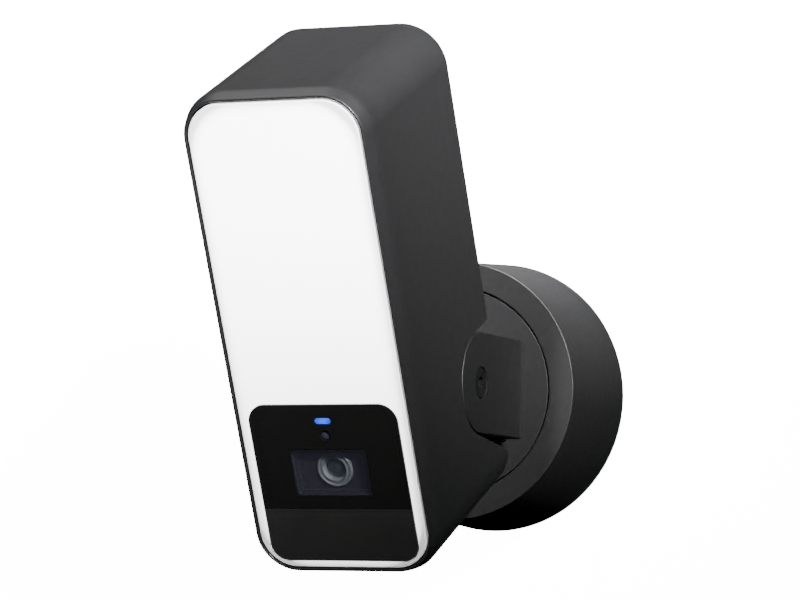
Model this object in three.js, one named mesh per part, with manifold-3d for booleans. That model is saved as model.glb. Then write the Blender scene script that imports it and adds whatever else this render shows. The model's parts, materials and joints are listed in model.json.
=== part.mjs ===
// A wall-mounted floodlight with a security camera: a slim rounded head whose whole front is a
// lit opal panel round a black camera window, hung on a forked arm that turns in a round wall cup.
//
// Part frame: millimetres, +Z up, the wall is the plane y = 0 and the light shines towards -Y.
// The origin is the middle of the wall bracket's back face, which is also on the swivel axis.
// The head has a level frame of its own: x across, y back from its front plane, z up from its middle.
import * as THREE from "three";
import { mergeVertices } from "three/addons/utils/BufferGeometryUtils.js";
import Module from "manifold-3d";

// ---------------------------------------------------------------- driving dimensions
const SEAM = 0.3; // between pieces that touch
const MOVING_GAP = 0.8; // between pieces that turn past each other
const HOLE_PLAY = 0.4; // hole radius over shank radius

// Head
const HEAD_WIDTH = 69;
const HEAD_HEIGHT = 176.3;
const HEAD_DEPTH = 76.8;
const HEAD_CORNER = 15.8;
const SHELL_WALL = 2.5;
const REAR_EDGE = 0.8; // rounding of the shell's back edge
const LIP_ROUND = 4; // rounding of the notch's lower edge at the back face, along each of its sides
const RIM = 2.5; // width of the front rim round the light
const RIM_DEPTH = 5.6;
const RIM_SLOPE = { width: 1.9, depth: 5, segments: 1 };
const RIM_WEB = 2.3; // ledge behind the diffuser's edge
const SPIGOT = { wall: 1.4, length: 8 }; // the rim's collar inside the shell
const LIGHT_GAP = 0.75; // shadow gap between the rim and the diffuser
const REST_TILT = 25.7; // degrees that the face looks down from level

// Front panel
const DIFFUSER_THICK = 2;
const DIFFUSER_SKIRT = { inset: 2.2, wall: 1.6, reach: 9 };
const DIFFUSER_EDGE = 0.3;
const SEAL_THICK = 0.7;
const WINDOW_WIDTH = 56.1;
const WINDOW_HEIGHT = 59;
const WINDOW_CORNER = 6.8;
const WINDOW_MARGIN = 2.3; // lit strip left below the window
const WINDOW_THICK = 1.3;
const WINDOW_PLAY = 0.15; // each window's edge to its neighbour's
const PIR_WINDOW_HEIGHT = 19.8;
const CARRIER = { inset: 0.6, wall: 1.4, depth: 10 };
const LENS_OPENING = { width: 28.6, height: 17.3, corner: 1.5, below: 25.5 };
const HOOD_WALL = 1.2;
const LENS_RADIUS = 6.6;
const LENS_SETBACK = 2.9; // lens ring behind the front plane
const LENS_LENGTH = 15;
const LENS_RIM = 2.4; // ring between the barrel's edge and the glass
const STATUS_LIGHT = { width: 6.3, height: 2.6, below: 6.3, stem: 1.1, length: 11 };
const LIGHT_SENSOR = { radius: 1.85, below: 11.7 };
const INFRARED = { radius: 2.4, offset: 21.5 };
const PIR_SENSOR = { radius: 4.6, front: 3.4, height: 4.8 };

// Light engine
const LIGHT_MARGIN = 4; // reflector to the window and to the diffuser's skirt
const REFLECTOR = { depth: 11, wall: 1.2, taper: 1.5 };
const LED = { size: 5, height: 0.9, rows: 2, columns: 2 };
const BOARD = 1.6; // circuit board thickness
const HEAT_SINK_PLATE = 3;
const FIN = { height: 8, thick: 1.6, count: 5 };
const POST_RADIUS = 3.2;
const POST_INSET = 10; // posts in from the ends of the light engine
const BOARD_GAP = 3; // fins to the main board
const BOARD_ABOVE_KNUCKLE = 12; // leaves the lead its way up
const SPEAKER = { radius: 14, height: 7.7, flange: 2, behindRim: 2.8 };
const SOUND_SLOT = { width: 16, height: 1.6, pitch: 4, count: 5 };
const BUTTON = { radius: 2.6, flange: 4.2, travel: 0.6, fromRear: 14 };

// Hinge
const PIVOT_FROM_REAR = 15.1; // pivot to the head's back face
const PIVOT_FROM_FOOT = 46.95; // pivot to the head's underside
const ARM_RADIUS = 17.9;
const CHEEK = 7.5; // thickness of each side of the fork
const KNUCKLE_RISE = 3.6; // the head's knuckle stands above the arm by this
const DRUM_WALL = 3;
const DRUM_MOUTH = 24; // height of the way from the knuckle into the head
const SHAFT_RADIUS = 4.7;
const BOLT = { head: 5.5, height: 2.4, recess: 0.5, shank: 2.6, length: 17, socket: 4.2, socketDepth: 1.8 };
const WASHER = { thick: 0.8, radius: 12 };
const LARGEST_TILT = 33.5; // at this tilt the notch's lower edge lies along the arm's underside

// Arm
const ARM_REACH = 57.6; // disc face to pivot
const PIVOT_DROP = 0.8; // pivot below the swivel axis
const NECK = { length: 6.2, top: 2.5, bottom: -7, flare: 3.5, inset: 4.7 }; // inset from the disc's edge
const ARM_REAR_ROUND = 14; // vertical rear corners
const COVER = { width: 56, fromRear: 8.4, depth: 11, thick: 0.9, lap: 1.5 };
const POCKET_ROOF = 5; // metal left above the wiring pocket
const LEAD = { radius: 2.2, play: 0.6, end: 28 }; // end: its loose end in the cup, from the wall
const SLOT_SPARE = 0.17; // radians beyond the lead at each end of its slot
const ARM_SCREW_OFFSET = 18;

// Wall cup
const CUP_DEPTH = 48.3;
const CUP_RADIUS = 48.2; // at the front
const CUP_TAPER = 3.2; // wider at the back by this
const CUP_WALL = 2.4;
const CUP_FACE = 9.45; // width of the front ring round the disc
const CUP_LIP = 3; // thickness of the front ring
const CUP_EDGE = 0.5;
const DISC_GAP = 0.55;
const DISC_SET_IN = 0.4; // disc face behind the cup's front ring
const FLANGE = { reach: 2.2, thick: 2 };
const FRICTION_RING = 0.7;
const RETAINER = { bore: 30, thick: 2, screws: 3, post: 2.3 };
const GASKET = { width: 4.5, thick: 1.2 };
const BRACKET = { thick: 2, gap: 3, tabWidth: 12, tabReach: 13, tabThick: 2 };
const SLOT = { width: 5, length: 14, fromEdge: 15 };
const GROMMET = { radius: 6.2, flange: 8, bore: 3.6, length: 6, gap: 6 }; // gap from the terminals
const TERMINAL = { count: 3, pitch: 11, height: 13, depth: 15 };
const POWER_SUPPLY = { width: 50, depth: 29, above: 10 };
const CUP_ROOM = 2; // left between the cup's wall and what is inside it
const LOCK_SCREW = { radius: 2, length: 6.5, fromWall: 9 };

const M3 = { shank: 1.5, head: 2.7, height: 1.5 };
const M4 = { shank: 1.9, head: 3.2, height: 1.8 };
const LARGE_ROUND = 72; // sides of a large circle
const MEDIUM_ROUND = 32;
const SMALL_ROUND = 16;
const BEYOND = 500; // further than any piece reaches, for cutting tools

// ---------------------------------------------------------------- materials
function finish(color, roughness, metalness = 0, extra = {}) {
  return new THREE.MeshStandardMaterial({ color, roughness, metalness, ...extra });
}

const coatedMetal = finish("#2a2c2f", 0.5, 0.35);
const opal = finish("#f2f2ef", 0.45, 0, { emissive: "#f4f4f2", emissiveIntensity: 0.6 });
const blackGloss = finish("#0b0b0d", 0.08);
const blackSatin = finish("#101012", 0.45);
const blackMatt = finish("#1b1c1e", 0.8);
const greyMatt = finish("#3a3b3f", 0.7);
const clearSmoke = finish("#202226", 0.03, 0, { transparent: true, opacity: 0.35 });
const blueLight = finish("#3f6dff", 0.3, 0, { emissive: "#2f5fff", emissiveIntensity: 1 });
const whitePlastic = finish("#e9e9e6", 0.5);
const bareAluminium = finish("#b4b7ba", 0.4, 1);
const steel = finish("#8d9094", 0.35, 1);
const darkSteel = finish("#2f3134", 0.4, 0.9);
const boardGreen = finish("#1f4a33", 0.6);
const rubber = finish("#141416", 0.9);
const phosphor = finish("#e8d36a", 0.5);

// ---------------------------------------------------------------- solids and meshes
const wasm = await Module();
wasm.setup();

/** A closed three.js geometry as a manifold solid. */
function solid(geometry) {
  const bare = geometry.clone();
  bare.deleteAttribute("normal");
  bare.deleteAttribute("uv");
  const merged = mergeVertices(bare, 1e-4);
  const corners = merged.index.array;
  const kept = [];
  for (let i = 0; i < corners.length; i += 3) {
    const [a, b, c] = corners.subarray(i, i + 3);
    if (a !== b && b !== c && c !== a) kept.push(a, b, c);
  }
  const vertProperties = new Float32Array(merged.getAttribute("position").array);
  return new wasm.Manifold(new wasm.Mesh({ numProp: 3, vertProperties, triVerts: new Uint32Array(kept) }));
}

/** A named mesh of a solid, placed by position and by turns about x, y and z in radians. */
function piece(name, body, material, position = [0, 0, 0], turn = [0, 0, 0]) {
  const { vertProperties, triVerts } = body.getMesh();
  const geometry = new THREE.BufferGeometry();
  geometry.setAttribute("position", new THREE.BufferAttribute(vertProperties, 3));
  geometry.setIndex(new THREE.BufferAttribute(triVerts, 1));
  geometry.computeVertexNormals();
  const mesh = new THREE.Mesh(geometry, material);
  mesh.name = name;
  mesh.position.set(...position);
  mesh.rotation.set(...turn);
  return mesh;
}

const join = (first, ...others) => others.reduce((body, other) => body.add(other), first);
const cut = (first, ...others) => others.reduce((body, other) => body.subtract(other), first);

/** A point at a distance and an angle from a centre. */
function polar([a, b], distance, angle) {
  return [a + distance * Math.cos(angle), b + distance * Math.sin(angle)];
}

/** The centred whole or half steps of a row of count items: -1, 0, 1 for three. */
const centred = (count) => Array.from({ length: count }, (_, index) => index - (count - 1) / 2);

// ---------------------------------------------------------------- outlines
/** Outline from z = low to z = high, with its own corner radii at the bottom and at the top. */
function panel(width, low, high, lowCorner, highCorner = lowCorner) {
  const shape = new THREE.Shape();
  const side = width / 2;
  const corner = (x, z, radius, quarter) => {
    if (radius > 0) shape.absarc(x, z, radius, (quarter * Math.PI) / 2, ((quarter + 1) * Math.PI) / 2);
    else shape.lineTo(x, z);
  };
  shape.moveTo(side, low + lowCorner);
  corner(side - highCorner, high - highCorner, highCorner, 0);
  corner(highCorner - side, high - highCorner, highCorner, 1);
  corner(lowCorner - side, low + lowCorner, lowCorner, 2);
  corner(side - lowCorner, low + lowCorner, lowCorner, 3);
  shape.closePath();
  return shape;
}

/** The head's outline, moved in by inset all round. */
function headOutline(inset = 0) {
  const half = HEAD_HEIGHT / 2 - inset;
  return panel(HEAD_WIDTH - 2 * inset, -half, half, HEAD_CORNER - inset);
}

/** The black window's outline from low to high, moved in by inset; a corner is square where it is 0. */
function windowOutline(inset, low, high, lowCorner, highCorner) {
  const shrink = (radius) => Math.max(radius - inset, 0);
  return panel(WINDOW_WIDTH - 2 * inset, low + inset, high - inset, shrink(lowCorner), shrink(highCorner));
}

/** Outline of width by height about z = middle. */
function centredPanel(width, height, corner, middle) {
  return panel(width, middle - height / 2, middle + height / 2, corner);
}

// ---------------------------------------------------------------- solids from outlines
/** Extrudes an (x, z) outline from y = from to y = to; round gives both ends a rounded or sloped edge. */
function alongY(shape, from, to, round = { width: 0, depth: 0 }, curveSegments = 6) {
  const geometry = new THREE.ExtrudeGeometry(shape, {
    depth: to - from - 2 * round.depth,
    bevelEnabled: round.width > 0,
    bevelThickness: round.depth,
    bevelSize: round.width,
    bevelOffset: -round.width,
    bevelSegments: round.segments ?? 3,
    curveSegments,
  });
  return solid(geometry.rotateX(Math.PI / 2).translate(0, to - round.depth, 0));
}

/** Extrudes a (y, z) outline from x = from to x = to. */
function alongX(shape, from, to, curveSegments = 14) {
  const geometry = new THREE.ExtrudeGeometry(shape, { depth: to - from, bevelEnabled: false, curveSegments });
  const [x, y, z] = [new THREE.Vector3(1, 0, 0), new THREE.Vector3(0, 1, 0), new THREE.Vector3(0, 0, 1)];
  return solid(geometry.applyMatrix4(new THREE.Matrix4().makeBasis(y, z, x)).translate(from, 0, 0));
}

/** Extrudes an (x, y) outline from z = from to z = to. */
function alongZ(shape, from, to, curveSegments = 8) {
  const geometry = new THREE.ExtrudeGeometry(shape, { depth: to - from, bevelEnabled: false, curveSegments });
  return solid(geometry.translate(0, 0, from));
}

/** Box between two corners. */
function box([x0, y0, z0], [x1, y1, z1]) {
  const geometry = new THREE.BoxGeometry(x1 - x0, y1 - y0, z1 - z0);
  return solid(geometry.translate((x0 + x1) / 2, (y0 + y1) / 2, (z0 + z1) / 2));
}

/** Box whose [width, height] goes from front to back between y = from and y = to. */
function taperedBox(front, back, from, to) {
  const geometry = new THREE.BoxGeometry(1, to - from, 1).translate(0, (from + to) / 2, 0);
  const spot = geometry.getAttribute("position");
  for (let i = 0; i < spot.count; i += 1) {
    const [width, height] = spot.getY(i) < (from + to) / 2 ? front : back;
    spot.setXYZ(i, spot.getX(i) * width, spot.getY(i), spot.getZ(i) * height);
  }
  return solid(geometry);
}

/** Cylinder along y about (x, z). */
function rodY(radius, from, to, x = 0, z = 0, sides = SMALL_ROUND) {
  const geometry = new THREE.CylinderGeometry(radius, radius, to - from, sides);
  return solid(geometry.translate(x, (from + to) / 2, z));
}

/** Cylinder along x about (y, z), between the distances near and far on one side of the middle. */
function rodX(side, radius, near, far, [y, z], sides = SMALL_ROUND) {
  const geometry = new THREE.CylinderGeometry(radius, radius, far - near, sides);
  return solid(geometry.rotateZ(-Math.PI / 2).translate((side * (near + far)) / 2, y, z));
}

/** Cylinder along z about (x, y). */
function rodZ(radius, from, to, x = 0, y = 0, sides = SMALL_ROUND) {
  const geometry = new THREE.CylinderGeometry(radius, radius, to - from, sides);
  return solid(geometry.rotateX(Math.PI / 2).translate(x, y, (from + to) / 2));
}

/** Flat ring about the y axis. */
function ringY(outer, inner, from, to) {
  return cut(rodY(outer, from, to, 0, 0, LARGE_ROUND), rodY(inner, from - 1, to + 1, 0, 0, LARGE_ROUND));
}

/** Body turned about y from [radius, y] points in order of falling y on the outside. */
function turned(points, sides) {
  return solid(new THREE.LatheGeometry(points.map(([radius, y]) => new THREE.Vector2(radius, y)), sides));
}

/** Round tube along a curve through (x, y, z) points. */
function tube(points, radius, steps) {
  const path = new THREE.CatmullRomCurve3(points.map((point) => new THREE.Vector3(...point)));
  const section = new THREE.Shape().absarc(0, 0, radius, 0, 2 * Math.PI);
  return solid(new THREE.ExtrudeGeometry(section, { steps, extrudePath: path, curveSegments: 5 }));
}

/** Screw along +y from under its head at y = 0, with a hexagonal drive. */
function screw({ shank, head, height }, length) {
  return cut(
    join(rodY(head, -height, 0), rodY(shank, -0.1, length)),
    rodY(0.55 * head, -height - 1, -0.4 * height, 0, 0, 6),
  );
}

// ---------------------------------------------------------------- places worked out from the sizes
const headTop = HEAD_HEIGHT / 2;
const headSide = HEAD_WIDTH / 2;
const innerSide = headSide - SHELL_WALL;
const innerFloor = SHELL_WALL - headTop;
const headPivot = [HEAD_DEPTH - PIVOT_FROM_REAR, PIVOT_FROM_FOOT - headTop]; // (y, z) in the head's frame
const tilt = THREE.MathUtils.degToRad(REST_TILT);

const diffuserInset = RIM + LIGHT_GAP;
const diffuserTop = headTop - diffuserInset;
const windowLow = WINDOW_MARGIN - diffuserTop;
const windowHigh = windowLow + WINDOW_HEIGHT;
const windowSplit = windowLow + PIR_WINDOW_HEIGHT;
const pirHeight = (windowLow + windowSplit) / 2;
const lensHeight = windowHigh - LENS_OPENING.below;
const lensBack = LENS_SETBACK + LENS_LENGTH;
const statusHeight = windowHigh - STATUS_LIGHT.below;
const sensorHeight = windowHigh - LIGHT_SENSOR.below;
const behindWindow = WINDOW_THICK + SEAM;
const hoodFloor = LENS_SETBACK + 0.7;
const cameraBoardFront = lensBack - 3;
const pirBoardFront = PIR_SENSOR.front + PIR_SENSOR.height + SEAM;

const skirtInset = diffuserInset + DIFFUSER_SKIRT.inset + DIFFUSER_SKIRT.wall;
const lightLow = windowHigh + LIGHT_MARGIN;
const lightHigh = headTop - skirtInset - LIGHT_MARGIN / 4;
const lightMiddle = (lightLow + lightHigh) / 2;
const reflectorFront = DIFFUSER_SKIRT.reach + SEAM;
const reflectorBack = reflectorFront + REFLECTOR.depth;
const reflectorMouth = [HEAD_WIDTH - 2 * skirtInset - 2, lightHigh - lightLow - 2];
const reflectorFloor = reflectorMouth.map((size) => size - 2 * REFLECTOR.taper);
const ledBoardFront = reflectorBack + SEAM;
const heatSinkFront = ledBoardFront + BOARD + SEAM;
const heatSinkBack = heatSinkFront + HEAT_SINK_PLATE;
const mainBoardFront = heatSinkBack + FIN.height + BOARD_GAP;
const mainBoardLow = headPivot[1] + ARM_RADIUS + KNUCKLE_RISE + BOARD_ABOVE_KNUCKLE;
const postX = innerSide - POST_RADIUS + HOLE_PLAY;
const postPlaces = [lightLow + POST_INSET, lightHigh - POST_INSET].flatMap((z) => [[-postX, z], [postX, z]]);
const ledPlaces = centred(LED.rows).flatMap((row) =>
  centred(LED.columns).map((column) => [
    (column * reflectorFloor[0]) / LED.columns,
    lightMiddle + (row * reflectorFloor[1]) / LED.rows,
  ]),
);
const speakerY = RIM_DEPTH + SPIGOT.length + SPEAKER.behindRim + SPEAKER.radius;
const buttonY = HEAD_DEPTH - BUTTON.fromRear;
const drumRadius = ARM_RADIUS + KNUCKLE_RISE;
const cheekInside = headSide - CHEEK;
const drumEnd = cheekInside - WASHER.thick - 2 * SEAM;
const shaftEnd = drumEnd - SEAM;

const discFace = CUP_DEPTH - DISC_SET_IN;
const pivot = [-(discFace + ARM_REACH), -PIVOT_DROP]; // (y, z) in the part's frame
const armRear = -(discFace + NECK.length);
const armUnder = pivot[1] - ARM_RADIUS;
const neckEnd = -(discFace + SEAM);
const leadHeight = (NECK.top + NECK.bottom) / 2;
const leadAngle = Math.asin((leadHeight - pivot[1]) / drumRadius); // from the pivot, with the head level
const lipBack = CUP_LIP - CUP_DEPTH;
const cupBore = CUP_RADIUS - CUP_FACE;
const discRadius = cupBore - DISC_GAP;
const flangeFront = lipBack + FRICTION_RING + 2 * SEAM;
const flangeBack = flangeFront + FLANGE.thick;
const flangeRadius = discRadius + FLANGE.reach;
const retainerRadius = CUP_RADIUS - CUP_WALL - SEAM;
const retainerPost = flangeRadius + HOLE_PLAY + RETAINER.post + SEAM;
const retainerPlaces = Array.from({ length: RETAINER.screws }, (_, index) =>
  polar([0, 0], retainerPost, Math.PI * (0.5 + (2 * index) / RETAINER.screws)),
);
const cupBack = -(GASKET.thick + SEAM);
const cupBackRadius = CUP_RADIUS + CUP_TAPER;
const bracketRadius = cupBackRadius - CUP_WALL - BRACKET.gap;
const bracketFront = -(BRACKET.thick + SEAM);
const terminalHalf = (TERMINAL.count * TERMINAL.pitch) / 2;
const terminalTop = TERMINAL.height - roomBeside(terminalHalf);
const grommetHeight = terminalTop + GROMMET.gap + GROMMET.flange;

/** How far from the cup's middle something of this half width can reach up or down. */
function roomBeside(half) {
  return Math.sqrt((CUP_RADIUS - CUP_WALL - CUP_ROOM) ** 2 - half ** 2);
}

// ---------------------------------------------------------------- head: shell and rim
/** Side outline of the notch for the arm, grown by extra all round; (y, z) in the head's frame. */
function notchOutline(extra) {
  const [y, z] = headPivot;
  const radius = ARM_RADIUS + MOVING_GAP + extra;
  const slope = THREE.MathUtils.degToRad(LARGEST_TILT);
  const shape = new THREE.Shape();
  shape.moveTo(y + HEAD_DEPTH, z + radius);
  shape.lineTo(y, z + radius);
  shape.absarc(y, z, radius, Math.PI / 2, 1.5 * Math.PI - slope);
  const lip = z - radius / Math.cos(slope) - (HEAD_DEPTH - y) * Math.tan(slope);
  shape.lineTo(HEAD_DEPTH - LIP_ROUND * Math.cos(slope), lip + LIP_ROUND * Math.sin(slope));
  shape.quadraticCurveTo(HEAD_DEPTH, lip, HEAD_DEPTH, lip - LIP_ROUND);
  shape.lineTo(y + HEAD_DEPTH, lip - LIP_ROUND);
  shape.closePath();
  return shape;
}

/** The knuckle's inside, with the way from it into the head, round the tube that holds the shaft. */
function drumHollow() {
  const [y, z] = headPivot;
  const reach = drumEnd - DRUM_WALL;
  const radius = drumRadius - DRUM_WALL;
  const mouth = box(
    [-reach, y - drumRadius - SHELL_WALL, z - DRUM_MOUTH / 2],
    [reach, y, z + DRUM_MOUTH / 2],
  );
  const shaftTube = rodX(1, SHAFT_RADIUS + SEAM + DRUM_WALL, -BEYOND, BEYOND, headPivot, MEDIUM_ROUND);
  return cut(join(rodX(1, radius, -reach, reach, headPivot, MEDIUM_ROUND), mouth), shaftTube);
}

/** Slot in the knuckle's wall that the lead needs from the level pose to the largest tilt. */
function leadSlot() {
  const half = LEAD.radius + 2 * LEAD.play;
  const [near, far] = [drumRadius - DRUM_WALL - 2, drumRadius + 2];
  const start = leadAngle + SLOT_SPARE;
  const end = leadAngle - SLOT_SPARE - THREE.MathUtils.degToRad(LARGEST_TILT);
  const slot = new THREE.Shape();
  slot.moveTo(...polar(headPivot, near, end));
  slot.lineTo(...polar(headPivot, far, end));
  slot.absarc(...headPivot, far, end, start);
  slot.lineTo(...polar(headPivot, near, start));
  slot.closePath();
  return alongX(slot, -half, half, 4);
}

function makeShell() {
  const outer = cut(
    alongY(headOutline(), -HEAD_DEPTH, HEAD_DEPTH, { width: REAR_EDGE, depth: REAR_EDGE }),
    box([-BEYOND, -BEYOND, -BEYOND], [BEYOND, RIM_DEPTH + SEAM, BEYOND]),
  );
  const cavity = cut(
    alongY(headOutline(SHELL_WALL), 0, HEAD_DEPTH - SHELL_WALL),
    alongX(notchOutline(SHELL_WALL), -BEYOND, BEYOND),
  );
  const walls = cut(outer, cavity, alongX(notchOutline(0), -BEYOND, BEYOND));
  const drum = rodX(1, drumRadius, -drumEnd, drumEnd, headPivot, 56);
  const posts = postPlaces.map(([x, z]) => rodY(POST_RADIUS, heatSinkBack + SEAM, HEAD_DEPTH - 1, x, z));
  const postHoles = postPlaces.map(([x, z]) => rodY(M3.shank + HOLE_PLAY, 0, heatSinkBack + 12, x, z, 10));
  const soundSlots = centred(SOUND_SLOT.count).map((step) => {
    const y = speakerY + step * SOUND_SLOT.pitch;
    return box(
      [-SOUND_SLOT.width / 2, y - SOUND_SLOT.height / 2, -BEYOND],
      [SOUND_SLOT.width / 2, y + SOUND_SLOT.height / 2, innerFloor + 1],
    );
  });
  return cut(
    join(walls, drum, ...posts),
    ...postHoles,
    drumHollow(),
    leadSlot(),
    rodX(1, SHAFT_RADIUS + SEAM, -BEYOND, BEYOND, headPivot, MEDIUM_ROUND),
    ...soundSlots,
    rodZ(BUTTON.radius + SEAM, -BEYOND, innerFloor + 1, 0, buttonY),
  );
}

/** Sloped front rim with a ledge behind the diffuser's edge and a collar inside the shell. */
function makeBezel() {
  const tube = (outerInset, innerInset, from, to) =>
    cut(alongY(headOutline(outerInset), from, to), alongY(headOutline(innerInset), from - 1, to + 1));
  const front = 0.2;
  const sloped = cut(
    alongY(headOutline(), front, 2 * HEAD_DEPTH, RIM_SLOPE),
    box([-BEYOND, RIM_DEPTH, -BEYOND], [BEYOND, BEYOND, BEYOND]),
    alongY(headOutline(RIM), -1, BEYOND),
  );
  const collarInset = SHELL_WALL + SEAM;
  const ledgeInset = diffuserInset + DIFFUSER_SKIRT.inset - SEAM;
  return join(
    sloped,
    tube(RIM / 2, ledgeInset, RIM_DEPTH - RIM_WEB, RIM_DEPTH),
    tube(collarInset, collarInset + SPIGOT.wall, RIM_DEPTH - RIM_WEB, RIM_DEPTH + SPIGOT.length),
  );
}

function makeSeal() {
  const from = DIFFUSER_THICK + SEAM;
  const inner = diffuserInset + DIFFUSER_SKIRT.inset - SEAM;
  return cut(
    alongY(headOutline(diffuserInset), from, from + SEAL_THICK),
    alongY(headOutline(inner), 0, from + SEAL_THICK + 1),
  );
}

// ---------------------------------------------------------------- head: front panel
function makeDiffuser() {
  const inset = diffuserInset + DIFFUSER_SKIRT.inset;
  const edge = { width: DIFFUSER_EDGE, depth: DIFFUSER_EDGE };
  const skirt = cut(
    alongY(headOutline(inset), DIFFUSER_THICK / 2, DIFFUSER_SKIRT.reach),
    alongY(headOutline(inset + DIFFUSER_SKIRT.wall), 0, DIFFUSER_SKIRT.reach + 1),
  );
  const hole = windowOutline(-WINDOW_PLAY, windowLow, windowHigh, WINDOW_CORNER, WINDOW_CORNER);
  return cut(
    join(alongY(headOutline(diffuserInset), 0, DIFFUSER_THICK, edge), skirt),
    alongY(hole, -1, DIFFUSER_SKIRT.reach + 1),
  );
}

/** Camera window: the upper part of the black panel, open at the lens, the light and the sensor. */
function makeCameraWindow() {
  const plate = windowOutline(WINDOW_PLAY, windowSplit, windowHigh, 0, WINDOW_CORNER);
  const through = (shape) => alongY(shape, -1, WINDOW_THICK + 1, undefined, 4);
  return cut(
    alongY(plate, 0, WINDOW_THICK),
    through(centredPanel(LENS_OPENING.width, LENS_OPENING.height, LENS_OPENING.corner, lensHeight)),
    through(statusOutline(0)),
    rodY(LIGHT_SENSOR.radius, -1, WINDOW_THICK + 1, 0, sensorHeight),
  );
}

/** Infrared window: the lower part of the black panel, thinned behind where its lens is moulded. */
function makePirWindow() {
  const plate = windowOutline(WINDOW_PLAY, windowLow, windowSplit, WINDOW_CORNER, 0);
  const thinned = centredPanel(WINDOW_WIDTH - 14, PIR_WINDOW_HEIGHT - 6, 3, pirHeight);
  return cut(
    alongY(plate, 0, WINDOW_THICK),
    alongY(thinned, WINDOW_THICK - 0.5, WINDOW_THICK + 1, undefined, 4),
  );
}

/** Rounded bar of the status light, moved in by inset. */
function statusOutline(inset) {
  const height = STATUS_LIGHT.height - 2 * inset;
  return centredPanel(STATUS_LIGHT.width - 2 * inset, height, 0.49 * height, statusHeight);
}

function lensOutline(inset) {
  return centredPanel(
    LENS_OPENING.width - 2 * inset,
    LENS_OPENING.height - 2 * inset,
    LENS_OPENING.corner - inset,
    lensHeight,
  );
}

/** Black tray that both windows are bonded to. */
function makeCarrier() {
  const { inset, wall, depth } = CARRIER;
  const outline = (by) => windowOutline(by, windowLow, windowHigh, WINDOW_CORNER, WINDOW_CORNER);
  const tray = cut(
    alongY(outline(inset), behindWindow, behindWindow + depth),
    alongY(outline(inset + wall), behindWindow + wall, behindWindow + depth + 1),
  );
  return cut(
    tray,
    alongY(lensOutline(-HOOD_WALL - SEAM), 0, depth, undefined, 3),
    rodY(STATUS_LIGHT.stem + SEAM, 0, depth, 0, statusHeight, 10),
    rodY(LIGHT_SENSOR.radius, 0, depth, 0, sensorHeight, 10),
    rodY(PIR_SENSOR.radius + 2.5, 0, depth, 0, pirHeight),
    ...[-1, 1].map((side) => rodY(INFRARED.radius + HOLE_PLAY, 0, depth, side * INFRARED.offset, lensHeight)),
  );
}

/** Open box round the lens, seen through the clear pane. */
function makeHood() {
  return cut(
    alongY(lensOutline(-HOOD_WALL), behindWindow, hoodFloor + HOOD_WALL, undefined, 3),
    alongY(lensOutline(0), 0, hoodFloor, undefined, 3),
    rodY(LENS_RADIUS + SEAM, 0, lensBack, 0, lensHeight, MEDIUM_ROUND),
  );
}

/** Lens barrel about the y axis: a stepped ring that narrows behind the glass. */
function makeBarrel() {
  const [outer, edge] = [LENS_RADIUS, 0.4];
  const seat = outer - LENS_RIM;
  return turned(
    [
      [outer - edge, LENS_SETBACK],
      [seat + edge, LENS_SETBACK],
      [seat, LENS_SETBACK + 0.8],
      [seat, LENS_SETBACK + 4.5],
      [seat / 2, LENS_SETBACK + 4.5],
      [seat / 2, lensBack],
      [outer, lensBack],
      [outer, LENS_SETBACK + edge],
      [outer - edge, LENS_SETBACK],
    ].reverse(),
    MEDIUM_ROUND,
  );
}

/** Front lens about the y axis: a shallow dome on a short cylinder. */
function makeLensGlass() {
  const radius = LENS_RADIUS - LENS_RIM - SEAM;
  const [front, rise] = [LENS_SETBACK + 0.9, 1.1];
  const dome = [0, 1, 2, 3, 4].map((step) => {
    const angle = (step * Math.PI) / 8;
    return [radius * Math.sin(angle), front + rise * (1 - Math.cos(angle))];
  });
  return turned([...dome, [radius, front + 3], [0, front + 3]], 24);
}

/** Light pipe: a bar in the window's slot with a stem behind it. */
function makeStatusLight() {
  return join(
    alongY(statusOutline(WINDOW_PLAY), 0, WINDOW_THICK, undefined, 4),
    rodY(STATUS_LIGHT.stem, WINDOW_THICK / 2, STATUS_LIGHT.length, 0, statusHeight, 10),
  );
}

/** Infrared lamp about the y axis, with a domed tip. */
function makeInfrared() {
  const { radius } = INFRARED;
  const tip = behindWindow + 2.5;
  const back = cameraBoardFront - SEAM;
  return turned([[0, tip], [0.6 * radius, tip + 0.4], [radius, tip + 1.8], [radius, back], [0, back]], 12);
}

function makeCameraBoard() {
  const half = WINDOW_WIDTH / 2 - 3;
  return cut(
    box([-half, cameraBoardFront, windowSplit + 1], [half, cameraBoardFront + BOARD, windowHigh - 2.5]),
    rodY(LENS_RADIUS + 1, 0, lensBack + 5, 0, lensHeight),
  );
}

/** Infrared motion sensor: a can on a wider base. */
function makePirSensor() {
  const back = PIR_SENSOR.front + PIR_SENSOR.height;
  return join(
    rodY(PIR_SENSOR.radius, PIR_SENSOR.front, back, 0, pirHeight),
    rodY(PIR_SENSOR.radius + 0.8, back - 0.8, back, 0, pirHeight),
  );
}

// ---------------------------------------------------------------- head: light engine
/** White tray that throws the light forward, with a hole for each LED; about z = lightMiddle. */
function makeReflector() {
  const inset = 2 * REFLECTOR.wall;
  const smaller = (sizes) => sizes.map((size) => size - inset);
  const half = LED.size / 2 + HOLE_PLAY;
  return cut(
    taperedBox(reflectorMouth, reflectorFloor, reflectorFront, reflectorBack),
    taperedBox(
      smaller(reflectorMouth),
      smaller(reflectorFloor),
      reflectorFront - REFLECTOR.wall,
      reflectorBack - REFLECTOR.wall,
    ),
    ...ledPlaces.map(([x, z]) =>
      box([x - half, 0, z - lightMiddle - half], [x + half, reflectorBack + 1, z - lightMiddle + half]),
    ),
  );
}

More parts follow.
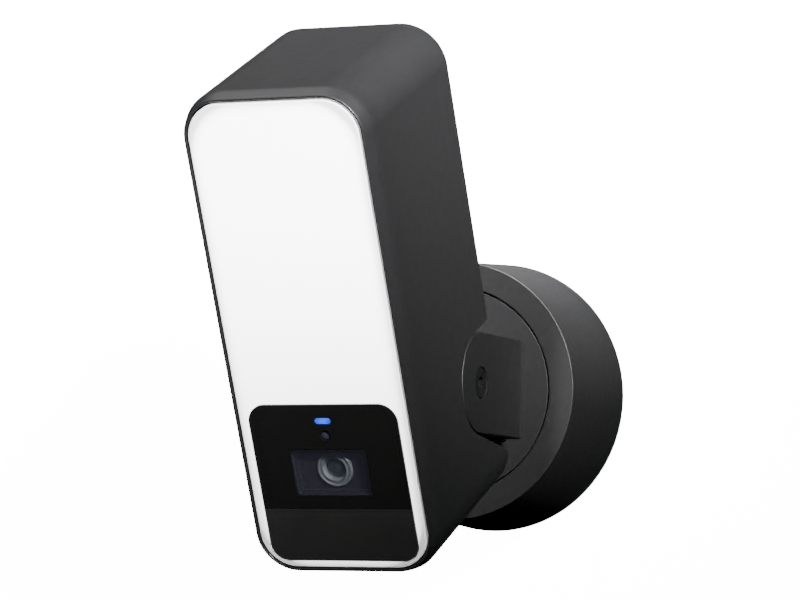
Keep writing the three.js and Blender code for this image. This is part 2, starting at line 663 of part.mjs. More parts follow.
function makeHeatSink() {
  const half = postX + POST_RADIUS - 1;
  const room = alongY(headOutline(SHELL_WALL + SEAM), 0, HEAD_DEPTH);
  const plate = box([-half, heatSinkFront, lightLow], [half, heatSinkBack, lightHigh]).intersect(room);
  const pitch = (2 * (postX - POST_RADIUS - 3)) / (FIN.count - 1);
  const fins = centred(FIN.count).map((step) =>
    box(
      [step * pitch - FIN.thick / 2, heatSinkBack - 1, lightLow + 6],
      [step * pitch + FIN.thick / 2, heatSinkBack + FIN.height, lightHigh - 6],
    ),
  );
  const holes = postPlaces.map(([x, z]) => rodY(M3.shank + HOLE_PLAY, 0, BEYOND, x, z, 10));
  return cut(join(plate, ...fins), ...holes);
}

/** Speaker can with a flange, facing the slots in the shell's underside. */
function makeSpeaker() {
  const low = innerFloor + SEAM;
  return join(
    rodZ(SPEAKER.radius, low, low + SPEAKER.flange, 0, speakerY, 24),
    rodZ(SPEAKER.radius - 3, low + 1, low + SPEAKER.height, 0, speakerY, 24),
  );
}

/** Reset button: a stem through the underside with a flange inside. */
function makeButton() {
  const flangeLow = innerFloor + SEAM;
  return join(
    rodZ(BUTTON.radius, 0.2 - headTop, flangeLow + 1, 0, buttonY),
    rodZ(BUTTON.flange, flangeLow, flangeLow + 1, 0, buttonY),
    rodZ(BUTTON.radius / 2, flangeLow + 0.5, flangeLow + 3, 0, buttonY, 12),
  );
}

/** The head's length of the lead: round the shaft tube, out of the knuckle and up behind the main board. */
function makeHeadLead() {
  const aim = leadAngle - tilt;
  const ringRadius = SHAFT_RADIUS + SEAM + DRUM_WALL + LEAD.radius + LEAD.play;
  const [y, z] = headPivot;
  const back = mainBoardFront + BOARD + LEAD.radius + SEAM;
  const points = [
    polar(headPivot, drumRadius - 1, aim),
    polar(headPivot, ringRadius + 1, aim + 0.3),
    polar(headPivot, ringRadius, 0.5),
    polar(headPivot, ringRadius, 1.2),
    polar(headPivot, ringRadius, 1.85),
    [y - 13, z + 9.5],
    [y - 19, z + 7.5],
    [y - 25, z + 10],
    [Math.min(y - 24.5, back - 2), z + 18],
    [back + 0.6, z + 27],
    [back + 0.6, z + 38],
    [back + 0.6, z + 50],
  ];
  return tube(points.map((point) => [0, ...point]), LEAD.radius, 34);
}

/** Shaft through the knuckle, threaded at both ends. */
function makeShaft() {
  const hole = (side) => rodX(side, BOLT.shank + SEAM, shaftEnd - BOLT.length, BEYOND, headPivot);
  return cut(rodX(1, SHAFT_RADIUS, -shaftEnd, shaftEnd, headPivot, MEDIUM_ROUND), hole(1), hole(-1));
}

// ---------------------------------------------------------------- arm
/** Forked arm: two cheeks, the bridge behind the knuckle, and the neck that stands on the disc. */
function makeArm() {
  const [y, z] = pivot;
  const side = new THREE.Shape();
  side.moveTo(armRear, armUnder);
  side.lineTo(armRear, z + ARM_RADIUS);
  side.absarc(y, z, ARM_RADIUS, Math.PI / 2, 1.5 * Math.PI);
  side.closePath();
  const corner = headSide - ARM_REAR_ROUND;
  const plan = new THREE.Shape();
  plan.moveTo(-headSide, y - 2 * ARM_RADIUS);
  plan.lineTo(headSide, y - 2 * ARM_RADIUS);
  plan.absarc(corner, armRear - ARM_REAR_ROUND, ARM_REAR_ROUND, 0, Math.PI / 2);
  plan.absarc(-corner, armRear - ARM_REAR_ROUND, ARM_REAR_ROUND, Math.PI / 2, Math.PI);
  plan.closePath();
  const block = alongX(side, -headSide, headSide).intersect(alongZ(plan, -BEYOND, BEYOND));
  const room = join(
    rodX(1, drumRadius + MOVING_GAP, -cheekInside, cheekInside, pivot, 56),
    box([-cheekInside, -BEYOND, -BEYOND], [cheekInside, y, BEYOND]),
  );
  const coverHalf = COVER.width / 2 - COVER.lap;
  const pocket = box(
    [-coverHalf, armRear - COVER.fromRear - COVER.depth + COVER.lap, -BEYOND],
    [coverHalf, armRear - COVER.fromRear - COVER.lap, z + ARM_RADIUS - POCKET_ROOF],
  );
  const boltSeat = headSide - BOLT.recess - BOLT.height - SEAM;
  const boltRoom = (at) =>
    join(
      rodX(at, BOLT.shank + HOLE_PLAY, 0, BEYOND, pivot),
      rodX(at, BOLT.head + HOLE_PLAY, boltSeat, BEYOND, pivot, MEDIUM_ROUND),
    );
  return cut(
    join(block, makeNeck()),
    room,
    pocket,
    boltRoom(1),
    boltRoom(-1),
    rodY(LEAD.radius + LEAD.play, y, 0, 0, leadHeight),
    ...armScrewHoles(neckEnd - 9),
  );
}

/** Holes for the two screws between the disc and the arm, from y = from to the wall. */
function armScrewHoles(from) {
  return [-1, 1].map((side) => rodY(M4.shank + HOLE_PLAY, from, 0, side * ARM_SCREW_OFFSET, leadHeight, 12));
}

/** Flat neck between the arm and the disc, flared where it meets the disc. */
function makeNeck() {
  const { flare } = NECK;
  const half = discRadius - NECK.inset - flare;
  const outline = new THREE.Shape();
  outline.moveTo(-half, armRear - NECK.length);
  outline.lineTo(half, armRear - NECK.length);
  outline.absarc(half + flare, neckEnd - flare, flare, Math.PI, Math.PI / 2, true);
  outline.absarc(-half - flare, neckEnd - flare, flare, Math.PI / 2, 0, true);
  outline.closePath();
  return alongZ(outline, NECK.bottom, NECK.top, 4);
}

function makeCover() {
  const back = armRear - COVER.fromRear;
  const shape = new THREE.Shape();
  const [half, round] = [COVER.width / 2, 2];
  shape.absarc(half - round, back - round, round, 0, Math.PI / 2);
  shape.absarc(round - half, back - round, round, Math.PI / 2, Math.PI);
  shape.absarc(round - half, back - COVER.depth + round, round, Math.PI, 1.5 * Math.PI);
  shape.absarc(half - round, back - COVER.depth + round, round, 1.5 * Math.PI, 2 * Math.PI);
  shape.closePath();
  return alongZ(shape, armUnder - SEAM - COVER.thick, armUnder - SEAM, 3);
}

/** Countersunk hinge bolt of one side, with a hexagonal socket. */
function makeBolt(side) {
  const face = headSide - BOLT.recess;
  const neck = face - BOLT.height;
  return cut(
    join(
      rodX(side, BOLT.head, neck, face, pivot, MEDIUM_ROUND),
      rodX(side, BOLT.shank, shaftEnd - BOLT.length + 1, neck + 1, pivot),
    ),
    rodX(side, BOLT.socket / Math.sqrt(3), face - BOLT.socketDepth, BEYOND, pivot, 6),
  );
}

function makeWasher(side) {
  const near = drumEnd + SEAM;
  return cut(
    rodX(side, WASHER.radius, near, near + WASHER.thick, pivot, 24),
    rodX(side, BOLT.shank + HOLE_PLAY, near - 1, near + WASHER.thick + 1, pivot),
  );
}

function makeArmLead() {
  const bridge = pivot[0] + (drumRadius + MOVING_GAP) * Math.cos(leadAngle);
  return rodY(LEAD.radius, bridge + SEAM, -LEAD.end, 0, leadHeight, 10);
}

// ---------------------------------------------------------------- wall cup
/** Disc that carries the arm and turns in the cup's front ring. */
function makeDisc() {
  return cut(
    turned(
      [
        [0, flangeBack],
        [flangeRadius, flangeBack],
        [flangeRadius, flangeFront],
        [discRadius, flangeFront],
        [discRadius, -discFace],
        [0, -discFace],
      ].reverse(),
      LARGE_ROUND,
    ),
    rodY(LEAD.radius + LEAD.play, -CUP_DEPTH, 0, 0, leadHeight),
    ...armScrewHoles(-CUP_DEPTH),
  );
}

/** Tapered cup with a front ring, an open back and posts for the retaining ring. */
function makeCup() {
  const edge = [0, 1, 2, 3].map((step) => {
    const angle = (step * Math.PI) / 6;
    return [
      CUP_RADIUS - CUP_EDGE * (1 - Math.cos(angle)),
      CUP_EDGE * (1 - Math.sin(angle)) - CUP_DEPTH,
    ];
  });
  const shell = turned(
    [
      [cupBackRadius - CUP_WALL, cupBack],
      [cupBackRadius, cupBack],
      ...edge,
      [cupBore, -CUP_DEPTH],
      [cupBore, lipBack],
      [CUP_RADIUS - CUP_WALL, lipBack],
      [cupBackRadius - CUP_WALL, cupBack],
    ].reverse(),
    LARGE_ROUND,
  );
  const posts = retainerPlaces.map(([x, z]) => rodY(RETAINER.post, lipBack - 1, flangeBack, x, z, 12));
  const holes = retainerPlaces.map(([x, z]) => rodY(M3.shank + HOLE_PLAY, lipBack - 1.5, 0, x, z, 10));
  const lock = rodZ(LOCK_SCREW.radius + HOLE_PLAY, -BEYOND, 0, 0, -LOCK_SCREW.fromWall, 12);
  const roomForPosts = rodY(flangeRadius + HOLE_PLAY, lipBack, 0, 0, 0, LARGE_ROUND);
  return cut(join(shell, ...posts), ...holes, lock, roomForPosts);
}

function makeRetainer() {
  const front = flangeBack + SEAM;
  return cut(
    ringY(retainerRadius, RETAINER.bore, front, front + RETAINER.thick),
    ...retainerPlaces.map(([x, z]) => rodY(M3.shank + HOLE_PLAY, -CUP_DEPTH, 0, x, z, 10)),
  );
}

/** Steel wall plate with slots for wall screws, a hole for the supply cable and two tabs for the cup. */
function makeBracket() {
  const slot = (side) => {
    const shape = new THREE.Shape();
    const [half, x] = [(SLOT.length - SLOT.width) / 2, side * (bracketRadius - SLOT.fromEdge)];
    shape.absarc(x, half, SLOT.width / 2, 0, Math.PI);
    shape.absarc(x, -half, SLOT.width / 2, Math.PI, 2 * Math.PI);
    shape.closePath();
    return alongY(shape, -BEYOND, BEYOND);
  };
  const tab = (side) => {
    const [near, far] = [bracketRadius - BRACKET.tabThick - 1, bracketRadius - 1];
    const [low, high] = side < 0 ? [-far, -near] : [near, far];
    return box([-BRACKET.tabWidth / 2, -BRACKET.tabReach, low], [BRACKET.tabWidth / 2, -0.5, high]);
  };
  return cut(
    join(rodY(bracketRadius, -BRACKET.thick, 0, 0, 0, 56), tab(1), tab(-1)),
    slot(1),
    slot(-1),
    rodY(GROMMET.radius + SEAM, -BEYOND, BEYOND, 0, grommetHeight, 24),
    rodZ(LOCK_SCREW.radius + HOLE_PLAY, -BEYOND, 0, 0, -LOCK_SCREW.fromWall, 12),
  );
}

function makeGasket() {
  const outer = cupBackRadius - 0.5;
  return ringY(outer, outer - GASKET.width, -GASKET.thick, 0);
}

/** Rubber bush of the supply cable's hole, which it lines and laps over inside. */
function makeGrommet() {
  return cut(
    join(
      rodY(GROMMET.radius, -GROMMET.length, 0, 0, grommetHeight, 24),
      rodY(GROMMET.flange, bracketFront - 1.5, bracketFront, 0, grommetHeight, 24),
    ),
    rodY(GROMMET.bore, -BEYOND, BEYOND, 0, grommetHeight, 20),
  );
}

/** Mains terminal block: a screw hole at the front and a wire hole at the top for each way. */
function makeTerminals() {
  const front = bracketFront - TERMINAL.depth;
  const low = terminalTop - TERMINAL.height;
  const ways = centred(TERMINAL.count).flatMap((step) => {
    const x = step * TERMINAL.pitch;
    return [
      rodY(2.2, front - 1, front + 5, x, (low + terminalTop) / 2, 12),
      box([x - 2.5, bracketFront - 9, terminalTop - 5], [x + 2.5, bracketFront - 4, terminalTop + 1]),
    ];
  });
  return cut(box([-terminalHalf, front, low], [terminalHalf, bracketFront, terminalTop]), ...ways);
}

function makePowerSupply() {
  const half = POWER_SUPPLY.width / 2;
  const front = bracketFront - POWER_SUPPLY.depth;
  return box([-half, front, POWER_SUPPLY.above], [half, bracketFront, roomBeside(half)]);
}

/** Headless locking screw along y, with a hexagonal socket at its outer end. */
function makeLockScrew() {
  return cut(
    rodY(LOCK_SCREW.radius, 0, LOCK_SCREW.length, 0, 0, 12),
    rodY(LOCK_SCREW.radius / 2, -1, 2, 0, 0, 6),
  );
}

// ---------------------------------------------------------------- the head's group
const atLens = [0, 0, lensHeight];
const head = new THREE.Group();
head.add(
  piece("housing_shell", makeShell(), coatedMetal),
  piece("front_bezel", makeBezel(), coatedMetal),
  piece("bezel_seal", makeSeal(), rubber),
  piece("light_diffuser", makeDiffuser(), opal),
  piece("camera_window", makeCameraWindow(), blackGloss),
  piece("pir_window", makePirWindow(), blackSatin),
  piece("lens_pane", alongY(lensOutline(WINDOW_PLAY), 0, WINDOW_THICK - 0.2, undefined, 3), clearSmoke),
  piece("status_light_pipe", makeStatusLight(), blueLight),
  piece("light_sensor_lens", rodY(LIGHT_SENSOR.radius - WINDOW_PLAY, 0, 4), greyMatt, [0, 0, sensorHeight]),
  piece("window_carrier", makeCarrier(), blackMatt),
  piece("lens_hood", makeHood(), greyMatt),
  piece("lens_barrel", makeBarrel(), blackSatin, atLens),
  piece("lens_glass", makeLensGlass(), clearSmoke, atLens),
  piece("camera_board", makeCameraBoard(), boardGreen),
  piece("image_sensor", box([-9, lensBack + SEAM, -9], [9, lensBack + SEAM + 3, 9]), blackMatt, atLens),
  piece("infrared_light_left", makeInfrared(), clearSmoke, [-INFRARED.offset, 0, lensHeight]),
  piece("infrared_light_right", makeInfrared(), clearSmoke, [INFRARED.offset, 0, lensHeight]),
  piece("pir_sensor", makePirSensor(), bareAluminium),
  piece(
    "pir_board",
    box([-20, pirBoardFront, windowLow + 3], [20, pirBoardFront + BOARD, windowSplit - 3.5]),
    boardGreen,
  ),
  piece(
    "microphone",
    box([-1.9, pirBoardFront - SEAM - 1.2, -1.5], [1.9, pirBoardFront - SEAM, 1.5]),
    bareAluminium,
    [14, 0, pirHeight],
  ),
  piece("light_reflector", makeReflector(), whitePlastic, [0, 0, lightMiddle]),
  piece(
    "led_board",
    box(
      [-reflectorFloor[0] / 2, ledBoardFront, -reflectorFloor[1] / 2],
      [reflectorFloor[0] / 2, ledBoardFront + BOARD, reflectorFloor[1] / 2],
    ),
    whitePlastic,
    [0, 0, lightMiddle],
  ),
  piece("heat_sink", makeHeatSink(), bareAluminium),
  piece(
    "main_board",
    box(
      [POST_RADIUS + 1 - postX, mainBoardFront, mainBoardLow],
      [postX - POST_RADIUS - 1, mainBoardFront + BOARD, lightHigh - 4],
    ),
    boardGreen,
  ),
  piece("antenna", box([-18, reflectorFront + 4, -0.4], [18, reflectorFront + 11, 0.4]), bareAluminium, [
    0,
    0,
    lightHigh + 2,
  ]),
  piece("speaker", makeSpeaker(), blackMatt),
  piece(
    "reset_switch",
    box([-3, -3, 0], [3, 3, 3.5]),
    blackMatt,
    [0, buttonY, innerFloor + SEAM + 3 + BUTTON.travel + SEAM],
  ),
  piece("reset_button", makeButton(), blackMatt),
  piece("hinge_shaft", makeShaft(), steel),
  piece("head_lead", makeHeadLead(), rubber),
);
ledPlaces.forEach(([x, z], index) => {
  const half = LED.size / 2;
  const chip = box([-half, reflectorBack - LED.height, -half], [half, reflectorBack, half]);
  head.add(piece(`led_${index + 1}`, chip, phosphor, [x, 0, z]));
});
postPlaces.forEach(([x, z], index) => {
  const place = [x, heatSinkFront - SEAM, z];
  head.add(piece(`heat_sink_screw_${index + 1}`, screw(M3, 11), steel, place));
});
head.position.set(0, -headPivot[0], -headPivot[1]);

const tiltingHead = new THREE.Group();
tiltingHead.add(head);
tiltingHead.position.set(0, ...pivot);
tiltingHead.rotation.x = tilt;

// ---------------------------------------------------------------- the arm's group
const arm = new THREE.Group();
arm.add(
  piece("hinge_arm", makeArm(), coatedMetal),
  piece("arm_cover", makeCover(), coatedMetal),
  piece("hinge_bolt_left", makeBolt(-1), darkSteel),
  piece("hinge_bolt_right", makeBolt(1), darkSteel),
  piece("friction_washer_left", makeWasher(-1), steel),
  piece("friction_washer_right", makeWasher(1), steel),
  piece("arm_lead", makeArmLead(), rubber),
  piece("swivel_disc", makeDisc(), coatedMetal),
  tiltingHead,
);
[-1, 1].forEach((side) => {
  const name = side < 0 ? "arm_screw_left" : "arm_screw_right";
  const place = [side * ARM_SCREW_OFFSET, flangeBack + SEAM, leadHeight];
  arm.add(piece(name, screw(M4, 11), steel, place, [Math.PI, 0, 0]));
});

// ---------------------------------------------------------------- the wall cup's group
const wallCup = new THREE.Group();
wallCup.add(
  piece("wall_cup", makeCup(), coatedMetal),
  piece(
    "friction_ring",
    ringY(flangeRadius - SEAM, cupBore + SEAM, lipBack + SEAM, lipBack + SEAM + FRICTION_RING),
    rubber,
  ),
  piece("retaining_ring", makeRetainer(), steel),
  piece("wall_bracket", makeBracket(), steel),
  piece("wall_gasket", makeGasket(), rubber),
  piece("cable_grommet", makeGrommet(), rubber),
  piece("terminal_block", makeTerminals(), whitePlastic),
  piece("power_supply", makePowerSupply(), blackMatt),
  piece(
    "cup_locking_screw",
    makeLockScrew(),
    darkSteel,
    [0, -LOCK_SCREW.fromWall, 0.8 - cupBackRadius],
    [Math.PI / 2, 0, 0],
  ),
);
retainerPlaces.forEach(([x, z], index) => {
  const place = [x, flangeBack + RETAINER.thick + 2 * SEAM, z];
  wallCup.add(piece(`retaining_screw_${index + 1}`, screw(M3, 5), steel, place, [Math.PI, 0, 0]));
});

const camera = new THREE.Group();
camera.add(wallCup, arm);

export default camera;
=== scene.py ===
"""A wall-mounted floodlight with a security camera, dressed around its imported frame.

The frame gives every body, joint and node. Sizes here are in millimetres, in two places of their own:
the wall's, with the origin at the middle of the wall bracket's back face and +Y into the wall, and the
head's, which is level: x across, y back from its front plane, z up from its middle.
"""

from __future__ import annotations

import json
import logging
import math
from collections.abc import Iterable
from dataclasses import dataclass, field
from enum import Enum
from typing import Any

import bmesh
import bpy
from mathutils import Matrix, Vector

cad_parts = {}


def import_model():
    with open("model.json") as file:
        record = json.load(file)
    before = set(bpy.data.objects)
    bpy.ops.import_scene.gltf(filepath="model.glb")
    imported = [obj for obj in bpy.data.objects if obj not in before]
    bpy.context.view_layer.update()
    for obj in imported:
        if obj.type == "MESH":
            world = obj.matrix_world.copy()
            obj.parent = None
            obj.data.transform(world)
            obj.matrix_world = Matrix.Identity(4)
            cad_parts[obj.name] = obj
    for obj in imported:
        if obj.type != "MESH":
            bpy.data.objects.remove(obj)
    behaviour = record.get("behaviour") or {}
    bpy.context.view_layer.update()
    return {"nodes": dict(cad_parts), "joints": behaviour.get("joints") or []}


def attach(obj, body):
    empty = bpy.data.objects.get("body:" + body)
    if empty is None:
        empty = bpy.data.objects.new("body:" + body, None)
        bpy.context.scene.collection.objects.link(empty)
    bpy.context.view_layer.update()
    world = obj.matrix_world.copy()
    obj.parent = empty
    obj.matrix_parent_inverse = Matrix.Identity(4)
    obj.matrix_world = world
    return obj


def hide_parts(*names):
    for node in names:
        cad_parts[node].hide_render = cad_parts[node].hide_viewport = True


LOG = logging.getLogger("floodlight")
MM = 0.001
SEAM = 0.3  # left between two pieces that touch
BEYOND = 150.0  # further than a cut has to reach
HINGE = (-105.5, -0.8)  # y and z of the hinge's axis, in the wall's place
LEAD_Z = -2.25  # height of the lead and of the arm's screws where they enter the mount
ARM_SCREW_X = 18.0  # of the arm's two screws

Point = tuple[float, float, float]
Flat = tuple[float, float]


class Body(Enum):
    """The rigid bodies of the frame that pieces made here ride on."""

    WALL = "wall_mount"
    ARM = "swivel_arm"
    HEAD = "head"


class Side(Enum):
    """The two sides of the fork, by the sign of x."""

    LEFT = -1
    RIGHT = 1


class Merge(Enum):
    """How one solid changes another."""

    CUT = "DIFFERENCE"
    ADD = "UNION"
    COMMON = "INTERSECT"


# ---------------------------------------------------------------- nodes and colours
def linear(colour: str) -> tuple[float, float, float, float]:
    """Turns an sRGB hex colour to linear RGBA.

    Args:
        colour: Six hex digits after a hash.

    Returns:
        Red, green, blue and an alpha of one.
    """
    shares = [int(colour[i : i + 2], 16) / 255 for i in (1, 3, 5)]
    red, green, blue = (s / 12.92 if s <= 0.04045 else ((s + 0.055) / 1.055) ** 2.4 for s in shares)
    return red, green, blue, 1.0


def add_node(
    tree: bpy.types.NodeTree,
    kind: str,
    settings: dict[str, Any] | None = None,
    inputs: dict[str | int, Any] | None = None,
) -> bpy.types.Node:
    """Adds a node with its settings and its inputs.

    Args:
        tree: The node tree that gets the node.
        kind: The node's type name.
        settings: Values of the node's own properties.
        inputs: Socket name or number to a value, or to the output socket that feeds it.

    Returns:
        The new node.
    """
    node = tree.nodes.new(kind)
    for name, value in (settings or {}).items():
        setattr(node, name, value)
    for key, value in (inputs or {}).items():
        if isinstance(value, bpy.types.NodeSocket):
            tree.links.new(value, node.inputs[key])
        else:
            node.inputs[key].default_value = value
    return node


def clear_tree(owner: bpy.types.Material | bpy.types.World) -> bpy.types.NodeTree:
    """Gives a material or a world an empty node tree."""
    owner.use_nodes = True
    owner.node_tree.nodes.clear()
    return owner.node_tree


def put(name: str, data: bpy.types.ID) -> bpy.types.Object:
    """Puts data on a new object in the scene."""
    obj = bpy.data.objects.new(name, data)
    bpy.context.scene.collection.objects.link(obj)
    return obj


# ---------------------------------------------------------------- finishes
@dataclass(frozen=True)
class Finish:
    """A surface with one colour, a slight mottling of its gloss, and a fine grain.

    Grain and mottling are given by their size in millimetres and their strength.
    """

    name: str
    colour: str
    roughness: float
    metallic: float = 0.0
    ior: float = 1.5
    grain: float = 0.5
    grain_depth: float = 0.0
    mottle: float = 12.0
    mottle_share: float = 0.12

    def material(self) -> bpy.types.Material:
        """Returns this finish's material, made the first time it is asked for."""
        known = bpy.data.materials.get(self.name)
        if known:
            return known
        material = bpy.data.materials.new(self.name)
        tree = clear_tree(material)
        values = {"Base Color": linear(self.colour), "Roughness": self.roughness}
        values |= {"Metallic": self.metallic, "IOR": self.ior}
        shader = add_node(tree, "ShaderNodeBsdfPrincipled", inputs=values)
        add_node(tree, "ShaderNodeOutputMaterial", inputs={"Surface": shader.outputs["BSDF"]})
        self.dress(tree, shader, add_node(tree, "ShaderNodeTexCoord").outputs["Object"])
        return material

    def dress(self, tree: bpy.types.NodeTree, shader: bpy.types.Node, place: bpy.types.NodeSocket) -> None:
        """Adds the mottled gloss and colour and the grain.

        Args:
            tree: The material's node tree.
            shader: Its surface shader.
            place: Object coordinates.
        """
        look = {"Vector": place, "Scale": 1 / (self.mottle * MM), "Detail": 4.0}
        cloud = add_node(tree, "ShaderNodeTexNoise", inputs=look).outputs["Fac"]
        low, high = 1 - self.mottle_share, 1 + self.mottle_share
        ends = {"To Min": self.roughness * low, "To Max": self.roughness * high}
        span = {"Value": cloud, "From Min": 0.3, "From Max": 0.7}
        gloss = add_node(tree, "ShaderNodeMapRange", inputs=span | ends)
        tree.links.new(gloss.outputs["Result"], shader.inputs["Roughness"])
        base = linear(self.colour)[:3]
        dark, light = ((*(min(1.0, c * share) for c in base), 1.0) for share in (low, high))
        shades = {"Factor": cloud, "A": dark, "B": light}
        tint = add_node(tree, "ShaderNodeMix", {"data_type": "RGBA"}, shades)
        tree.links.new(tint.outputs["Result"], shader.inputs["Base Color"])
        if self.grain_depth:
            look = {"Vector": place, "Scale": 1 / (self.grain * MM), "Detail": 2.0, "Roughness": 0.6}
            grain = add_node(tree, "ShaderNodeTexNoise", inputs=look).outputs["Fac"]
            relief = {"Height": grain, "Distance": self.grain_depth * MM, "Strength": 1.0}
            bump = add_node(tree, "ShaderNodeBump", inputs=relief)
            tree.links.new(bump.outputs["Normal"], shader.inputs["Normal"])


@dataclass(frozen=True)
class BrushedMetal(Finish):
    """A metal with fine lines along one axis from milling, rolling or turning."""

    stretch: Point = (1.0, 1.0, 12.0)
    line_depth: float = 0.02

    def dress(self, tree: bpy.types.NodeTree, shader: bpy.types.Node, place: bpy.types.NodeSocket) -> None:
        """Adds lines that are long where stretch is small.

        Args:
            tree: The material's node tree.
            shader: Its surface shader.
            place: Object coordinates.
        """
        super().dress(tree, shader, place)
        scaled = add_node(tree, "ShaderNodeMapping", inputs={"Vector": place, "Scale": self.stretch})
        look = {"Vector": scaled.outputs["Vector"], "Scale": 0.15 / (self.grain * MM), "Detail": 3.0}
        lines = add_node(tree, "ShaderNodeTexNoise", inputs=look).outputs["Fac"]
        relief = {"Height": lines, "Distance": self.line_depth * MM, "Strength": 0.6}
        bump = add_node(tree, "ShaderNodeBump", inputs=relief)
        tree.links.new(bump.outputs["Normal"], shader.inputs["Normal"])


@dataclass(frozen=True)
class ClearPlastic(Finish):
    """See-through plastic or glass: a thin veil of its own colour under a clear gloss."""

    veil: float = 0.25

    def dress(self, tree: bpy.types.NodeTree, shader: bpy.types.Node, place: bpy.types.NodeSocket) -> None:
        """Lets most of the light through, with a veil that varies a little.

        Args:
            tree: The material's node tree.
            shader: Its surface shader.
            place: Object coordinates.
        """
        super().dress(tree, shader, place)
        cloud = add_node(tree, "ShaderNodeTexNoise", inputs={"Vector": place, "Scale": 90.0})
        ends = {"To Min": 0.9 * self.veil, "To Max": 1.1 * self.veil}
        veil = add_node(tree, "ShaderNodeMapRange", inputs={"Value": cloud.outputs["Fac"], **ends})
        tree.links.new(veil.outputs["Result"], shader.inputs["Alpha"])


@dataclass(frozen=True)
class HeadLight(Finish):
    """A lit surface on the head: turn and shift take a point to the head's own level place."""

    turn: float = 0.0
    shift: Point = (0.0, 0.0, 0.0)

    def level(self, tree: bpy.types.NodeTree, place: bpy.types.NodeSocket) -> bpy.types.NodeSocket:
        """Object coordinates turned and shifted to the head's own place."""
        moves = {"Vector": place, "Rotation": (self.turn, 0.0, 0.0), "Location": self.shift}
        return add_node(tree, "ShaderNodeMapping", inputs=moves).outputs["Vector"]


@dataclass(frozen=True)
class Glow(HeadLight):
    """Plastic lit from behind, dimmer at the edge of its rounded box and towards its lower end.

    The box is centred on the head and is given by its half sizes and corner radius.
    """

    strength: float = 1.0
    dim_share: float = 0.3
    dim_reach: float = 10.0
    half: Flat = (10.0, 10.0)
    corner: float = 5.0
    shadow_low: float = 0.0
    shadow_reach: float = 1.0
    shadow_share: float = 0.0

    def dress(self, tree: bpy.types.NodeTree, shader: bpy.types.Node, place: bpy.types.NodeSocket) -> None:
        """Paints the light by how far a point is from the lit box's rounded edge.

        Args:
            tree: The material's node tree.
            shader: Its surface shader.
            place: Object coordinates.
        """
        super().dress(tree, shader, place)
        split = add_node(tree, "ShaderNodeSeparateXYZ", inputs={0: self.level(tree, place)}).outputs
        beyond = {}
        for name, axis, half in (("X", "X", self.half[0]), ("Y", "Z", self.half[1])):
            value = split[axis]
            inner = (half - self.corner - self.dim_reach) * MM
            for step, second in (("ABSOLUTE", 0.0), ("SUBTRACT", inner), ("MAXIMUM", 0.0)):
                ends = {0: value, 1: second}
                value = add_node(tree, "ShaderNodeMath", {"operation": step}, ends).outputs[0]
            beyond[name] = value
        away = add_node(tree, "ShaderNodeCombineXYZ", inputs=beyond).outputs[0]
        length = add_node(tree, "ShaderNodeVectorMath", {"operation": "LENGTH"}, {0: away}).outputs["Value"]
        ends = {"From Min": self.corner * MM, "From Max": (self.corner + self.dim_reach) * MM}
        near = add_node(tree, "ShaderNodeMapRange", inputs={"Value": length, **ends}).outputs["Result"]
        steep = add_node(tree, "ShaderNodeMath", {"operation": "POWER"}, {0: near, 1: 3.0}).outputs[0]
        ends = {"To Min": 1.0, "To Max": 1 - self.dim_share}
        edge = add_node(tree, "ShaderNodeMapRange", inputs={"Value": steep, **ends}).outputs["Result"]
        ends = {"From Min": self.shadow_low * MM, "From Max": (self.shadow_low + self.shadow_reach) * MM}
        ends |= {"To Min": 1 - self.shadow_share, "To Max": 1.0}
        soft = {"interpolation_type": "SMOOTHSTEP"}
        low = add_node(tree, "ShaderNodeMapRange", soft, {"Value": split["Z"], **ends}).outputs["Result"]
        both = add_node(tree, "ShaderNodeMath", {"operation": "MULTIPLY"}, {0: edge, 1: low}).outputs[0]
        power = add_node(tree, "ShaderNodeMath", {"operation": "MULTIPLY"}, {0: both, 1: self.strength})
        shader.inputs["Emission Color"].default_value = linear(self.colour)
        tree.links.new(power.outputs[0], shader.inputs["Emission Strength"])


@dataclass(frozen=True)
class BlueLight(HeadLight):
    """A blue light pipe, lighter in its middle; half is half of its bar in metres."""

    half: Flat = (0.003, 0.001)

    def dress(self, tree: bpy.types.NodeTree, shader: bpy.types.Node, place: bpy.types.NodeSocket) -> None:
        """Paints the light by how far a point is from the bar's middle.

        Args:
            tree: The material's node tree.
            shader: Its surface shader.
            place: Object coordinates.
        """
        super().dress(tree, shader, place)
        shares = (1.0 / self.half[0], 0.0, 1.0 / self.half[1])
        vector = {0: self.level(tree, place), 1: shares}
        share = add_node(tree, "ShaderNodeVectorMath", {"operation": "MULTIPLY"}, vector).outputs[0]
        away = add_node(tree, "ShaderNodeVectorMath", {"operation": "LENGTH"}, {0: share}).outputs["Value"]
        soft = {"interpolation_type": "SMOOTHSTEP"}
        ends = {"From Min": 0.0, "From Max": 0.8, "To Min": 1.0, "To Max": 0.0}
        glow = add_node(tree, "ShaderNodeMapRange", soft, {"Value": away, **ends}).outputs["Result"]
        ends = {"From Min": 0.45, "From Max": 0.95, "To Min": 1.0, "To Max": 0.03}
        power = add_node(tree, "ShaderNodeMapRange", soft, {"Value": away, **ends})
        shades = {"Factor": glow, "A": linear("#0a1eff"), "B": linear("#2c5cff")}
        colour = add_node(tree, "ShaderNodeMix", {"data_type": "RGBA"}, shades)
        tree.links.new(colour.outputs["Result"], shader.inputs["Emission Color"])
        tree.links.new(power.outputs["Result"], shader.inputs["Emission Strength"])


# What the satin coats share. The real grain is too fine to show, so it is drawn coarser.
SATIN = {"grain": 0.45, "grain_depth": 0.014, "mottle": 5.0, "mottle_share": 0.05}
# Powder coat on die-cast aluminium: black with soft, wide lights.
CASE_COAT = Finish("powder_coat_satin_black", "#1b1b1c", 0.46, **SATIN)
# The arm's coat is the case's coat drawn a shade darker and duller: the darker colour is painted shade, for
# the arm that sits in shade between the head and the mount.
ARM_SHADED_COAT = Finish("powder_coat_satin_black_arm", "#151516", 0.52, **SATIN)
